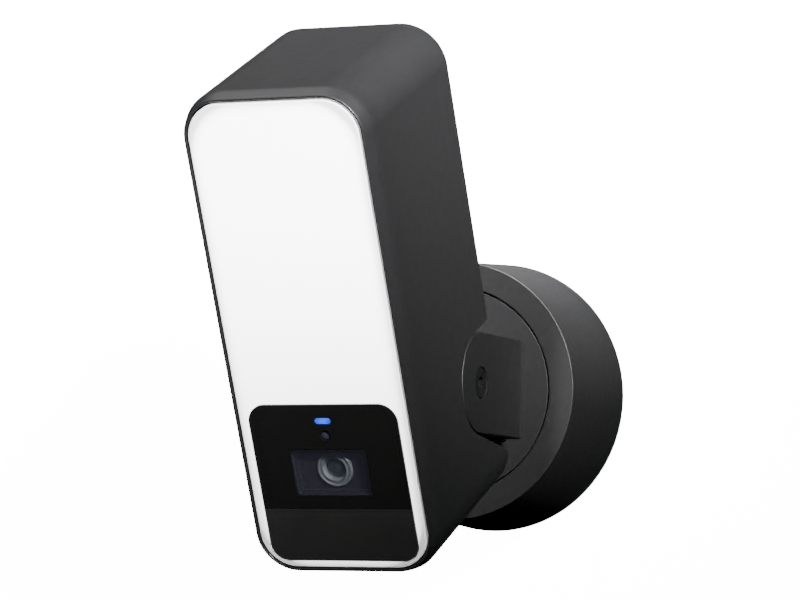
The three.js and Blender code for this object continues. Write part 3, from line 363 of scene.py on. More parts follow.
# The rim is smoother than the case, so it carries a clear line of light.
RIM_COAT = Finish("painted_rim_black", "#1c1c1d", 0.4, **SATIN | {"grain_depth": 0.006})
# The coat laid coarser on the wall cup and the disc gives them a sandy look; its grains are drawn larger.
CUP_COAT = Finish(
    "powder_coat_textured_black", "#1d1d1e", 0.5, grain=0.6, grain_depth=0.06, mottle=2.0, mottle_share=0.1
)
# Polished acrylic: a deep black that mirrors what is round it.
GLOSS_ACRYLIC = Finish("acrylic_gloss_black", "#171717", 0.06, ior=1.49, mottle_share=0.05)
# Moulded polyethylene, which lets heat rays through: a greyer, milky black without mirror images.
SATIN_POLYETHYLENE = Finish(
    "polyethylene_satin_black", "#282828", 0.42, ior=1.51, grain=0.4, grain_depth=0.006
)
# Smoked acrylic: the camera shows through it, greyed.
SMOKED_ACRYLIC = ClearPlastic("acrylic_clear_smoked", "#33333e", 0.04, ior=1.49, veil=0.32)
# Coated glass: a blue-green sheen and a sharp light.
COATED_GLASS = ClearPlastic("lens_glass_coated", "#5b6f73", 0.03, ior=1.6, veil=0.55)
# Moulded ABS, spark-eroded matt: a dull blue-grey step round the lens.
HOOD_ABS = Finish("abs_matt_grey", "#32323b", 0.65, grain=0.3, grain_depth=0.01)
# Anodised barrel, black in truth: drawn in a pale colour, which is painted light, so that its ring shows lit
# through the smoked pane.
BARREL_PAINTED_LIGHT = Finish("anodised_black_barrel_painted_light", "#a0a8ac", 0.32, grain=0.3, grain_depth=0.003)
# Moulded ABS with a rough skin: black with next to no lights.
BLACK_ABS = Finish("abs_matt_black", "#151618", 0.7, grain=0.4, grain_depth=0.02)
# Moulded polycarbonate: a clean, even white.
WHITE_PC = Finish("polycarbonate_white", "#e8e8e4", 0.4, ior=1.58, grain=0.5, grain_depth=0.004)
# Green solder mask on a board: a smooth lacquer with a faint waviness.
GREEN_BOARD = Finish("solder_mask_green", "#1d4a35", 0.35, ior=1.55, mottle=3.0, grain=0.8, grain_depth=0.01)
# White solder mask on the LED board: bright, so that it throws the light forward.
WHITE_BOARD = Finish("solder_mask_white", "#dededa", 0.4, ior=1.55, mottle=3.0)
# Phosphor resin cast on the LEDs: the yellow of an LED that is off.
PHOSPHOR = Finish("led_phosphor_resin", "#e9d166", 0.25, ior=1.53, grain=0.1, grain_depth=0.01)
# Moulded silicone: a soft black that swallows light.
SILICONE = Finish("silicone_matt_black", "#161617", 0.85, ior=1.43, grain=0.6, grain_depth=0.02)
# Extruded PVC sheath: black with a dull shine.
SHEATH = Finish("pvc_sheath_black", "#18181a", 0.6, ior=1.52, grain=0.5, grain_depth=0.01)
# Milled aluminium: silver with fine lines, drawn coarser than they are.
MILLED_ALUMINIUM = BrushedMetal("aluminium_milled", "#c4c6c8", 0.38, metallic=1.0)
# Zinc-plated steel: a grey metal with small cloudy spangles.
ZINC_STEEL = BrushedMetal("steel_zinc_plated", "#a9adb1", 0.36, metallic=1.0, mottle=6.0, mottle_share=0.25)
# Blackened steel under oil: near black, with a dim light on its edges.
OXIDE_STEEL = Finish("steel_black_oxide", "#131415", 0.42, metallic=0.2, grain=0.3, grain_depth=0.004)
# Smoky polycarbonate over the light sensor: a small dark blue-grey bead.
SENSOR_LENS = Finish("polycarbonate_smoky_grey", "#34364a", 0.15, ior=1.58, grain=0.3, grain_depth=0.002)
LIT_STRENGTH = 6.8  # of the opal panel


# ---------------------------------------------------------------- outlines
def quarter(steps: int) -> list[float]:
    """Angles of a right angle's equal steps from nothing, in radians."""
    return [math.radians(90 * k / steps) for k in range(steps + 1)]


def arc(centre: Flat, radius: float, start: float, end: float, steps: int) -> list[Flat]:
    """Points of an arc, both ends included; angles in degrees."""
    angles = [math.radians(start + (end - start) * i / steps) for i in range(steps + 1)]
    return [(centre[0] + radius * math.cos(a), centre[1] + radius * math.sin(a)) for a in angles]


def panel(half: float, low: float, high: float, radius: float, steps: int = 16) -> list[Flat]:
    """Outline of a rounded rectangle, anticlockwise from the upper right corner.

    Args:
        half: Half of its width.
        low: Its lower edge.
        high: Its upper edge.
        radius: Radius of its corners.
        steps: Edges of each corner.

    Returns:
        The outline's points.
    """
    corners = ((half, high, 0), (-half, high, 90), (-half, low, 180), (half, low, 270))
    points: list[Flat] = []
    for x, z, start in corners:
        centre = (x - math.copysign(radius, x), z - (radius if z == high else -radius))
        points += arc(centre, radius, start, start + 90, steps)
    return points


# ---------------------------------------------------------------- meshes
def evaluated(obj: bpy.types.Object) -> bpy.types.Mesh:
    """Returns an object's mesh with its modifiers applied."""
    graph = bpy.context.evaluated_depsgraph_get()
    return bpy.data.meshes.new_from_object(obj.evaluated_get(graph), depsgraph=graph)


class Solid:
    """A closed mesh in millimetres that other solids are joined to or cut from."""

    def __init__(self, mesh: bpy.types.Mesh) -> None:
        """Puts a mesh on an object of its own, so that modifiers can shape it."""
        self.obj = put("work", mesh)

    @classmethod
    def from_loops(cls, loops: list[list[Point]], ring: bool = False) -> Solid:
        """Skins loops that have the same number of points.

        Args:
            loops: The loops, one after the other.
            ring: Whether the last loop joins the first; if not, both ends are closed with a face.

        Returns:
            The closed solid, its faces pointing out.
        """
        shape = bmesh.new()
        rows = [[shape.verts.new(point) for point in loop] for loop in loops]
        for near, far in zip(rows, rows[1:] + rows[:1] if ring else rows[1:]):
            for i in range(len(near)):
                j = (i + 1) % len(near)
                shape.faces.new((near[i], near[j], far[j], far[i]))
        if not ring:
            shape.faces.new(rows[0])
            shape.faces.new(rows[-1])
        bmesh.ops.remove_doubles(shape, verts=shape.verts, dist=1e-4)
        bmesh.ops.recalc_face_normals(shape, faces=shape.faces)
        mesh = bpy.data.meshes.new("work")
        shape.to_mesh(mesh)
        shape.free()
        return cls(mesh)

    @classmethod
    def along_y(cls, outline: list[Flat], start: float, end: float) -> Solid:
        """Extrudes an (x, z) outline from y = start to y = end."""
        return cls.from_loops([[(x, y, z) for x, z in outline] for y in (start, end)])

    @classmethod
    def along_x(cls, outline: list[Flat], start: float, end: float) -> Solid:
        """Extrudes a (y, z) outline from x = start to x = end."""
        return cls.from_loops([[(x, y, z) for y, z in outline] for x in (start, end)])

    @classmethod
    def along_z(cls, outline: list[Flat], start: float, end: float) -> Solid:
        """Extrudes an (x, y) outline from z = start to z = end."""
        return cls.from_loops([[(x, y, z) for x, y in outline] for z in (start, end)])

    @classmethod
    def box(cls, low: Point, high: Point) -> Solid:
        """Box between two corners."""
        corners = [(low[0], low[2]), (high[0], low[2]), (high[0], high[2]), (low[0], high[2])]
        return cls.along_y(corners, low[1], high[1])

    @classmethod
    def turned(cls, profile: list[Flat], sides: int) -> Solid:
        """Turns an outline about the y axis.

        Args:
            profile: Radius and y of its points; one that starts and ends on the axis makes a full solid.
            sides: Edges of each circle.

        Returns:
            The closed solid.
        """
        angles = [2 * math.pi * k / sides for k in range(sides)]
        loops = [[(r * math.cos(a), y, r * math.sin(a)) for a in angles] for r, y in profile]
        return cls.from_loops(loops, ring=profile[0][0] > 0 or profile[-1][0] > 0)

    @classmethod
    def rod(
        cls, axis: str, radius: float, start: float, end: float, at: Flat = (0, 0), sides: int = 64
    ) -> Solid:
        """Cylinder along an axis.

        Args:
            axis: The axis, by its letter.
            radius: The cylinder's radius.
            start: Where it starts on the axis.
            end: Where it ends.
            at: The other two coordinates of its middle.
            sides: Edges of its circle.

        Returns:
            The closed solid.
        """
        circle = arc(at, radius, 0, 360 - 360 / sides, sides - 1)
        return {"x": cls.along_x, "y": cls.along_y, "z": cls.along_z}[axis](circle, start, end)

    def _merge(self, others: Iterable[Solid], how: Merge) -> Solid:
        """Changes this solid by others, one after the other.

        Args:
            others: The other solids, which are used up.
            how: What they do to this one.

        Returns:
            This solid.
        """
        others = list(others)
        for other in others:
            change = self.obj.modifiers.new("merge", "BOOLEAN")
            change.operation, change.solver, change.object = how.value, "EXACT", other.obj
        self._apply()
        for other in others:
            bpy.data.objects.remove(other.obj)
        return self

    def _apply(self) -> None:
        """Makes the modifiers' result the mesh."""
        mesh = evaluated(self.obj)
        self.obj.modifiers.clear()
        self.obj.data = mesh

    def cut(self, *others: Solid) -> Solid:
        """Takes other solids away."""
        return self._merge(others, Merge.CUT)

    def add(self, *others: Solid) -> Solid:
        """Joins other solids to this one."""
        return self._merge(others, Merge.ADD)

    def intersect(self, other: Solid) -> Solid:
        """Keeps what both solids share."""
        return self._merge([other], Merge.COMMON)

    def _tidy(self) -> None:
        """Merges doubled points and joins faces that lie in one plane."""
        shape = bmesh.new()
        shape.from_mesh(self.obj.data)
        bmesh.ops.remove_doubles(shape, verts=shape.verts, dist=0.002)
        flat = math.radians(0.4)
        bmesh.ops.dissolve_limit(shape, angle_limit=flat, verts=shape.verts, edges=shape.edges)
        shape.to_mesh(self.obj.data)
        shape.free()

    def soften(self, width: float, segments: int = 3, angle: float = 30.0) -> Solid:
        """Rounds the edges that are sharper than an angle.

        Args:
            width: Width of the rounding.
            segments: Strips across it.
            angle: Least angle between two faces, in degrees.

        Returns:
            This solid.
        """
        self._tidy()
        bevel = self.obj.modifiers.new("soften", "BEVEL")
        bevel.width, bevel.segments = width, segments
        bevel.limit_method, bevel.angle_limit = "ANGLE", math.radians(angle)
        bevel.use_clamp_overlap = True
        self._apply()
        return self

    def named(self, name: str, finish: Finish, place: Matrix | None = None) -> bpy.types.Object:
        """Finishes the solid as a piece in metres.

        Args:
            name: The piece's name.
            finish: Its finish.
            place: Turns and moves it from its own place, in millimetres, to the wall's.

        Returns:
            The piece's object, which sits at the origin.
        """
        obj = self.obj
        obj.name = obj.data.name = name
        settle(obj, place)
        obj.data.materials.clear()
        obj.data.materials.append(finish.material())
        return obj


def settle(obj: bpy.types.Object, place: Matrix | None, angle: float = 32.0) -> None:
    """Brings a mesh to metres in the wall's place, and shades it smooth with its flat faces kept flat.

    Args:
        obj: The object, which stays at the origin.
        place: Turns and moves the mesh from its own place, in millimetres, to the wall's.
        angle: Least angle of an edge that stays sharp, in degrees.
    """
    mesh = obj.data
    mesh.transform(Matrix.Scale(MM, 4) @ (place or Matrix()))
    mesh.shade_smooth()
    mesh.set_sharp_from_angle(angle=math.radians(angle))
    weights = obj.modifiers.new("weights", "WEIGHTED_NORMAL")
    weights.keep_sharp = True
    obj.data = evaluated(obj)
    obj.modifiers.clear()


def hand_in(obj: bpy.types.Object, body: Body, slot: str, *nodes: str) -> None:
    """Lets a finished piece ride on its body in the place of CAD nodes.

    Args:
        obj: The piece.
        body: The body that it moves with.
        slot: A material slot's name; not used.
        nodes: The nodes that it stands for.
    """
    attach(obj, body.value)
    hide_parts(*nodes)
    LOG.info("%s: %d faces on %s for %s", obj.name, len(obj.data.polygons), body.value, ", ".join(nodes))


def refine(node: bpy.types.Object, edge: float, finish: Finish) -> bpy.types.Object:
    """Copies a node's mesh and rounds its edges.

    Args:
        node: The CAD node, which is left alone.
        edge: Width of the rounding in millimetres.
        finish: The copy's finish.

    Returns:
        The finished piece.
    """
    mesh = node.data.copy()
    mesh.transform(Matrix.Scale(1 / MM, 4))
    mesh.materials.clear()
    return Solid(mesh).soften(edge, 2, 28.0).named(f"{node.name}_finished", finish)


# ---------------------------------------------------------------- repeated pieces by geometry nodes
@dataclass(frozen=True)
class PointPiece:
    """A piece that a node tree builds at each of some points, turned by Euler angles; in millimetres."""

    turn: Point = field(default=(0.0, 0.0, 0.0), kw_only=True)

    def inputs(self) -> dict[str, float | Point]:
        """The tree's named inputs with their values."""
        return {"Turn": self.turn}

    def shape(self, tree: bpy.types.NodeTree, given: bpy.types.NodeOutputs) -> bpy.types.NodeSocket:
        """Adds the nodes of one piece.

        Args:
            tree: The node tree.
            given: Its named inputs.

        Returns:
            The piece's mesh.
        """
        raise NotImplementedError

    def tree(self, name: str, material: bpy.types.Material) -> bpy.types.NodeTree:
        """Builds the node tree: its named inputs, one piece at each point, and all of it made real.

        Args:
            name: The tree's name.
            material: The pieces' material.

        Returns:
            The tree.
        """
        tree = bpy.data.node_groups.new(name, "GeometryNodeTree")
        for way in ("INPUT", "OUTPUT"):
            tree.interface.new_socket("Geometry", in_out=way, socket_type="NodeSocketGeometry")
        for key, value in self.inputs().items():
            kind = "NodeSocketVector" if isinstance(value, tuple) else "NodeSocketFloat"
            tree.interface.new_socket(key, in_out="INPUT", socket_type=kind)
        given = add_node(tree, "NodeGroupInput").outputs
        turn = add_node(tree, "FunctionNodeEulerToRotation", inputs={0: given["Turn"]}).outputs[0]
        one = {"Points": given["Geometry"], "Instance": self.shape(tree, given), "Rotation": turn}
        pieces = add_node(tree, "GeometryNodeInstanceOnPoints", inputs=one).outputs["Instances"]
        real = add_node(tree, "GeometryNodeRealizeInstances", inputs={"Geometry": pieces}).outputs["Geometry"]
        dressed = add_node(tree, "GeometryNodeSetMaterial", inputs={"Geometry": real, "Material": material})
        add_node(tree, "NodeGroupOutput", inputs={0: dressed.outputs["Geometry"]})
        return tree

    def build(
        self, name: str, places: list[Point], finish: Finish, place: Matrix | None = None
    ) -> bpy.types.Object:
        """Sets the pieces out and makes them one mesh.

        Args:
            name: The mesh's name.
            places: The points.
            finish: The pieces' finish.
            place: Matrix from the points' own place to the wall's.

        Returns:
            The finished piece.
        """
        mesh = bpy.data.meshes.new(name)
        mesh.from_pydata(places, [], [])
        obj = put(name, mesh)
        tree = self.tree(name, finish.material())
        change = obj.modifiers.new(name, "NODES")
        change.node_group = tree
        values = self.inputs()
        for item in tree.interface.items_tree:
            if item.in_out == "INPUT" and item.name in values:
                change[item.identifier] = values[item.name]
        obj.data = evaluated(obj)
        obj.modifiers.clear()
        settle(obj, place)
        return obj


@dataclass(frozen=True)
class Screws(PointPiece):
    """Socket screws: before they are turned, the heads stand up from the points and the shanks go down."""

    head: float
    height: float
    shank: float
    length: float
    drive: float

    def inputs(self) -> dict[str, float | Point]:
        """The radii and lengths of head, shank and drive, and the turn."""
        names = ("Head Radius", "Head Height", "Shank Radius", "Shank Length", "Drive Radius")
        sizes = (self.head, self.height, self.shank, self.length, self.drive)
        return dict(zip(names, sizes)) | super().inputs()

    def shape(self, tree: bpy.types.NodeTree, given: bpy.types.NodeOutputs) -> bpy.types.NodeSocket:
        """Joins the head to the shank and cuts the six-sided drive.

        Args:
            tree: The node tree.
            given: Its named inputs.

        Returns:
            The screw's mesh.
        """
        rods = []
        for part, length, sides, lift in (
            ("Head Radius", "Head Height", 40, 0.5),
            ("Shank Radius", "Shank Length", 24, -0.49),
            ("Drive Radius", "Head Height", 6, 0.95),
        ):
            size = {"Radius": given[part], "Depth": given[length], "Vertices": sides}
            rod = add_node(tree, "GeometryNodeMeshCylinder", inputs=size).outputs["Mesh"]
            up = add_node(tree, "ShaderNodeMath", {"operation": "MULTIPLY"}, {0: given[length], 1: lift})
            offset = add_node(tree, "ShaderNodeCombineXYZ", inputs={"Z": up.outputs[0]}).outputs[0]
            move = {"Geometry": rod, "Translation": offset}
            rods.append(add_node(tree, "GeometryNodeTransform", inputs=move).outputs[0])
        head, shank, drive = rods
        join = {"operation": "UNION", "solver": "EXACT"}
        whole = add_node(tree, "GeometryNodeMeshBoolean", join, {"Mesh 2": head})
        tree.links.new(shank, whole.inputs["Mesh 2"])
        cut = {"operation": "DIFFERENCE", "solver": "EXACT"}
        both = {"Mesh 1": whole.outputs["Mesh"], "Mesh 2": drive}
        return add_node(tree, "GeometryNodeMeshBoolean", cut, both).outputs["Mesh"]


@dataclass(frozen=True)
class Leds(PointPiece):
    """Square LED packages, each with a round well that holds its phosphor."""

    size: float = 5.0
    height: float = 0.9
    well_share: float = 0.42
    well_depth: float = 0.5
    well_middle: float = -0.45

    def inputs(self) -> dict[str, float | Point]:
        """The package's size, the well's radius and the turn."""
        package = (self.size, self.height, self.size)
        return {"Package Size": package, "Well Radius": self.well_share * self.size} | super().inputs()

    def shape(self, tree: bpy.types.NodeTree, given: bpy.types.NodeOutputs) -> bpy.types.NodeSocket:
        """Cuts the well into the front of the package.

        Args:
            tree: The node tree.
            given: Its named inputs.

        Returns:
            The package's mesh.
        """
        package = add_node(tree, "GeometryNodeMeshCube", inputs={"Size": given["Package Size"]})
        size = {"Vertices": 40, "Radius": given["Well Radius"], "Depth": self.well_depth}
        well = add_node(tree, "GeometryNodeMeshCylinder", inputs=size).outputs["Mesh"]
        move = {"Rotation": (math.pi / 2, 0.0, 0.0), "Translation": (0.0, self.well_middle, 0.0)}
        stood = add_node(tree, "GeometryNodeTransform", inputs={"Geometry": well, **move}).outputs["Geometry"]
        cut = {"operation": "DIFFERENCE", "solver": "EXACT"}
        both = {"Mesh 1": package.outputs["Mesh"], "Mesh 2": stood}
        return add_node(tree, "GeometryNodeMeshBoolean", cut, both).outputs["Mesh"]


# ---------------------------------------------------------------- the head
@dataclass(frozen=True)
class HeadSizes:
    """Sizes of the head that more than one of its pieces needs."""

    half: float = 34.5
    height: float = 176.3
    depth: float = 76.8
    corner: float = 15.8
    wall: float = 2.5
    panel_inset: float = 3.25
    pivot: Flat = (61.7, -41.2)
    window_half: float = 28.05
    window_low: float = -82.6
    window_split: float = -62.8
    window_high: float = -23.6
    window_corner: float = 6.8
    lens_z: float = -49.1
    rim_depth: float = 5.6
    screw_places: tuple[Flat, ...] = ((-29.2, -9.6), (29.2, -9.6), (-29.2, 70.1), (29.2, 70.1))

    @property
    def top(self) -> float:
        """Height of the head's top over its middle."""
        return self.height / 2

    def outline(self, inset: float = 0.0) -> list[Flat]:
        """The head's outline, moved in by inset."""
        return panel(self.half - inset, inset - self.top, self.top - inset, self.corner - inset, 20)

    def window(self, grow: float) -> list[Flat]:
        """The whole black window's outline, grown by grow."""
        low, high = self.window_low - grow, self.window_high + grow
        return panel(self.window_half + grow, low, high, self.window_corner + grow, 20)

    def loop(self, inset: float, y: float) -> list[Point]:
        """The head's outline as a loop at y."""
        return [(x, y, z) for x, z in self.outline(inset)]


@dataclass
class Housing:
    """The die-cast shell with its notch and knuckle, and the painted rim round its front."""

    sizes: HeadSizes
    place: Matrix
    back_edge: float = 0.8
    notch_edge: float = 0.45
    arm_radius: float = 17.9
    gap: float = 0.8
    swing: float = 33.5  # degrees from level to the end of the tilt
    lip_round: float = 4.0
    drum: float = 21.5
    drum_end: float = 25.6
    drum_wall: float = 3.0
    shaft: float = 5.0
    mouth_half: float = 12.0
    lead_half: float = 3.4
    lead_margin: float = 9.7  # degrees beside the lead
    speaker_y: float = 30.4
    button_y: float = 62.8
    button_hole: float = 2.9
    slot_half: float = 8.0
    slot_height: float = 1.6
    slot_pitch: float = 4.0
    slot_count: int = 5
    post_radius: float = 3.2
    post_front: float = 26.0
    thread_radius: float = 1.9
    thread_end: float = 38.0
    rim_width: float = 2.5
    rim_land: float = 1.85

    def notch(self, grow: float) -> Solid:
        """The room of the arm in the back of the shell.

        Args:
            grow: How much larger than the room itself.

        Returns:
            The solid to cut away.
        """
        (y, z), radius = self.sizes.pivot, self.arm_radius + self.gap + grow
        back, beyond, slope = self.sizes.depth, self.sizes.depth + 60, math.radians(self.swing)
        lip = z - radius / math.cos(slope) - (back - y) * math.tan(slope)
        points = [(beyond, z + radius), *arc((y, z), radius, 90, 270 - self.swing, 48)]
        start = Vector((back - self.lip_round * math.cos(slope), lip + self.lip_round * math.sin(slope)))
        corner, end = Vector((back, lip)), Vector((back, lip - self.lip_round))
        for t in (k / 8 for k in range(9)):
            points.append(tuple(start * (1 - t) ** 2 + corner * (2 * t * (1 - t)) + end * t**2))
        points.append((beyond, lip - self.lip_round))
        return Solid.along_x(points, -BEYOND, BEYOND)

    def lead_slot(self) -> Solid:
        """The slot that lets the lead into the knuckle at every tilt."""
        lead = math.degrees(math.asin((LEAD_Z - HINGE[1]) / self.drum))
        start, end = lead + self.lead_margin, lead - self.lead_margin - self.swing
        outline = arc(self.sizes.pivot, self.drum + 2, end, start, 16)
        outline += arc(self.sizes.pivot, self.drum - self.drum_wall - 2, start, end, 16)
        return Solid.along_x(outline, -self.lead_half, self.lead_half)

    def floor_openings(self) -> list[Solid]:
        """The speaker's slots and the button's hole in the floor of the shell."""
        floor = self.sizes.wall - self.sizes.top + 1
        openings = []
        for k in range(self.slot_count):
            middle = self.speaker_y + (k - (self.slot_count - 1) / 2) * self.slot_pitch
            half = self.slot_height / 2
            ends = arc((self.slot_half - half, middle), half, -90, 90, 8)
            ends += arc((half - self.slot_half, middle), half, 90, 270, 8)
            openings.append(Solid.along_z(ends, -BEYOND, floor))
        return openings + [Solid.rod("z", self.button_hole, -BEYOND, floor, (0, self.button_y), 48)]

    def build_shell(self) -> bpy.types.Object:
        """Builds the shell: outside first with its edges rounded, then the hollow and the knuckle."""
        s, edge, (y, z) = self.sizes, self.back_edge, self.sizes.pivot
        rear = [s.loop(edge * (1 - math.cos(a)), s.depth - edge * (1 - math.sin(a))) for a in quarter(5)]
        shell = Solid.from_loops([s.loop(0, s.rim_depth)] + rear)
        shell.cut(self.notch(0)).soften(self.notch_edge, 3, 34.0)
        shell.cut(Solid.along_y(s.outline(s.wall), 0, s.depth - s.wall).cut(self.notch(s.wall)))
        knuckle = Solid.rod("x", self.drum, -self.drum_end, self.drum_end, (y, z), 128)
        places, front = sorted(s.screw_places), self.post_front
        posts = [Solid.rod("y", self.post_radius, front, s.depth - 1, at, 32) for at in places]
        shell.add(knuckle, *posts)
        reach = self.drum_end - self.drum_wall
        hollow = Solid.rod("x", self.drum - self.drum_wall, -reach, reach, (y, z), 96)
        mouth = self.mouth_half
        hollow.add(Solid.box((-reach, y - self.drum - s.wall, z - mouth), (reach, y, z + mouth)))
        hollow.cut(Solid.rod("x", self.shaft + self.drum_wall, -BEYOND, BEYOND, (y, z)))
        shaft = Solid.rod("x", self.shaft, -BEYOND, BEYOND, (y, z))
        threads = [Solid.rod("y", self.thread_radius, 0, self.thread_end, at, 24) for at in places]
        shell.cut(hollow, shaft, self.lead_slot(), *self.floor_openings(), *threads)
        return shell.named("head_housing", CASE_COAT, self.place)

    def build_rim(self) -> bpy.types.Object:
        """Builds the rim as one closed section: land, slope, collar inside the shell and ledge."""
        s, land, width = self.sizes, self.rim_land, self.rim_width
        section = [(width, 0.45), (width - 0.12, 0.28), (width - 0.3, 0.2)]
        section += [(land, 0.2), (land - 0.14, 0.26), (land - 0.26, 0.42), (land - 0.42, 0.8)]
        section += [(0.5, 3.5), (0.25, 4.3), (0.1, 4.9), (0.02, 5.3), (0.0, s.rim_depth)]
        section += [(s.wall + SEAM, s.rim_depth), (s.wall + SEAM, s.rim_depth + 8), (4.2, s.rim_depth + 8)]
        section += [(4.2, s.rim_depth), (4.95, s.rim_depth), (4.95, 3.3), (width, 3.3)]
        rim = Solid.from_loops([s.loop(inset, y) for inset, y in section], ring=True)
        return rim.named("front_rim", RIM_COAT, self.place)

    def build(self) -> None:
        """Builds both pieces and hands them in."""
        hand_in(self.build_shell(), Body.HEAD, "coated_metal", "housing_shell")
        hand_in(self.build_rim(), Body.HEAD, "coated_metal", "front_bezel")


@dataclass
class FrontPanel:
    """The lit diffuser and, in its lower part, the black window with the camera behind it."""

    sizes: HeadSizes
    place: Matrix
    tilt: float
    thick: float = 2.0
    roll: float = 0.5  # rounding of the diffuser's front edge
    skirt: Point = (2.2, 1.6, 9.0)  # its inset, its wall and how far back it reaches
    play: float = 0.15
    window_thick: float = 1.3
    opening: Point = (14.3, 8.65, 1.5)  # the camera's: half width, half height and corner
    lens_radius: float = 6.6
    lens_front: float = 2.9
    lens_back: float = 17.9
    dome_rise: float = 1.1
    status: Point = (3.15, 1.3, -29.9)  # the light bar's half width, half height and place
    status_stem: Flat = (1.1, 11.0)  # radius and end of the pipe behind the bar
    sensor: Flat = (1.85, -35.3)  # the light sensor's radius and place

    def shift(self, z: float = 0.0) -> Point:
        """What brings the wall's place to the head's, after its tilt is undone.

        Args:
            z: Height on the head that becomes its zero.

        Returns:
            The shift in metres.
        """
        hinge, level = Vector((0, *self.sizes.pivot)), Matrix.Rotation(-self.tilt, 4, "X")
        return tuple((hinge - level @ (self.place @ hinge) - Vector((0, 0, z))) * MM)

    def lit(self) -> Finish:
        """The finish of the lit diffuser, which is opal acrylic with a soft fall of light to its edges."""
        s, inset = self.sizes, self.sizes.panel_inset
        box = {"half": (s.half - inset, s.top - inset), "corner": s.corner - inset}
        edge = {"strength": LIT_STRENGTH, "dim_share": 0.9, "dim_reach": 6.0}
        low = {"shadow_low": -86.0, "shadow_reach": 150.0, "shadow_share": 0.62}
        own = {"ior": 1.49, "mottle": 40.0, "mottle_share": 0.02, "turn": -self.tilt, "shift": self.shift()}
        return Glow("acrylic_opal_lit", "#fbfbfd", 0.35, **own, **box, **edge, **low)

    def build_diffuser(self) -> bpy.types.Object:
        """Builds the diffuser: a plate with a rolled edge and a skirt, open at the window."""
        s, (inset, wall, reach) = self.sizes, self.skirt
        edge, roll = s.panel_inset, self.roll
        front = [s.loop(edge + roll * (1 - math.sin(a)), roll * (1 - math.cos(a))) for a in quarter(4)]
        plate = Solid.from_loops(front + [s.loop(edge, self.thick)])
        outer, inner = edge + inset, edge + inset + wall
        section = [(outer, 1.0), (outer, reach), (inner, reach), (inner, 1.0)]
        plate.add(Solid.from_loops([s.loop(i, y) for i, y in section], ring=True))
        plate.cut(Solid.along_y(s.window(self.play), -1, reach + 1))
        return plate.named("lit_diffuser", self.lit(), self.place)

    def lens_outline(self, grow: float = 0.0) -> list[Flat]:
        """Outline of the camera's opening, grown by grow."""
        (half, up, corner), z = self.opening, self.sizes.lens_z
        return panel(half + grow, z - up - grow, z + up + grow, corner + grow, 8)

    def status_outline(self, grow: float = 0.0) -> list[Flat]:
        """Outline of the status light's bar, grown by grow."""
        half, up, z = self.status
        return panel(half + grow, z - up - grow, z + up + grow, 0.98 * (up + grow), 12)

    def build_windows(self) -> list[bpy.types.Object]:
        """Builds the gloss camera window and the satin window of the motion sensor below it."""
        s, play, thick = self.sizes, self.play, self.window_thick
        half, split = s.window_half - play, s.window_split
        high, low = s.window_high - play, s.window_low + play
        sides = panel(half, low, high, s.window_corner - play)
        top = [(x, z) for x, z in sides if z > 0.5 * (low + high)]
        bottom = [(x, z) for x, z in sides if z < 0.5 * (low + high)]
        upper = Solid.along_y(top + [(-half, split + 0.02), (half, split + 0.02)], 0, thick)
        radius, height = self.sensor
        holes = [Solid.along_y(outline, -1, 3) for outline in (self.lens_outline(), self.status_outline())]
        upper.cut(*holes, Solid.rod("y", radius, -1, 3, (0, height), 48)).soften(0.14, 2)
        lower = Solid.along_y(bottom + [(half, split - 0.02), (-half, split - 0.02)], 0, thick)
        lower.cut(Solid.along_y(panel(21, split - 16.3, split - 3, 3), thick - 0.5, 3)).soften(0.2, 2)
        return [
            upper.named("camera_window_gloss", GLOSS_ACRYLIC, self.place),
            lower.named("motion_window_satin", SATIN_POLYETHYLENE, self.place),
        ]

    def build_lens(self) -> None:
        """Builds the pane, the stepped hood, the ribbed barrel and the domed glass."""
        s, r, front, back = self.sizes, self.lens_radius, self.lens_front, self.lens_back
        pane = Solid.along_y(self.lens_outline(-self.play), 0.05, self.window_thick - 0.2).soften(0.1, 2)
        hand_in(pane.named("camera_pane", SMOKED_ACRYLIC, self.place), Body.HEAD, "smoked_clear", "lens_pane")
        hood = Solid.along_y(self.lens_outline(1.2), self.window_thick + SEAM, front + 1.9)
        steps = ((0, 2.4), (-1.1, front + 0.7))
        steps = [Solid.along_y(self.lens_outline(grow), 0, end) for grow, end in steps]
        hood.cut(*steps, Solid.rod("y", r + SEAM, 0, 30, (0, s.lens_z), 96)).soften(0.12, 2)
        hand_in(hood.named("camera_hood", HOOD_ABS, self.place), Body.HEAD, "grey_plastic", "lens_hood")
        seat = r - 2.4
        section = [(r - 0.35, front), (r - 0.7, front), (r - 1.0, front + 0.25), (seat + 0.75, front + 0.25)]
        section += [(seat + 0.4, front), (seat + 0.15, front + 0.1), (seat, front + 0.5)]
        for y in (front + 1.2 + 0.8 * k for k in range(4)):
            section += [(seat, y), (seat - 0.25, y + 0.25), (seat - 0.25, y + 0.4), (seat, y + 0.55)]
        section = [point for point in section if point[1] <= front + 4.5]
        section += [(seat, front + 4.5), (seat / 2, front + 4.5), (seat / 2, back)]
        section += [(r, back), (r, front + 0.35)]
        lift = self.place @ Matrix.Translation((0, 0, s.lens_z))
        # The barrel's pale colour is painted light on its ring.
        barrel = Solid.turned(section, 128).named("camera_barrel", BARREL_PAINTED_LIGHT, lift)
        hand_in(barrel, Body.HEAD, "black_satin", "lens_barrel")
        radius, start = seat - 0.55, front + 0.9
        dome = [(radius * math.sin(a), start + self.dome_rise * (1 - math.cos(a))) for a in quarter(14)]
        glass = Solid.turned(dome + [(radius, start + 3), (0.0, start + 3)], 96)
        glass_piece = glass.named("camera_glass", COATED_GLASS, lift)
        hand_in(glass_piece, Body.HEAD, "smoked_clear", "lens_glass")

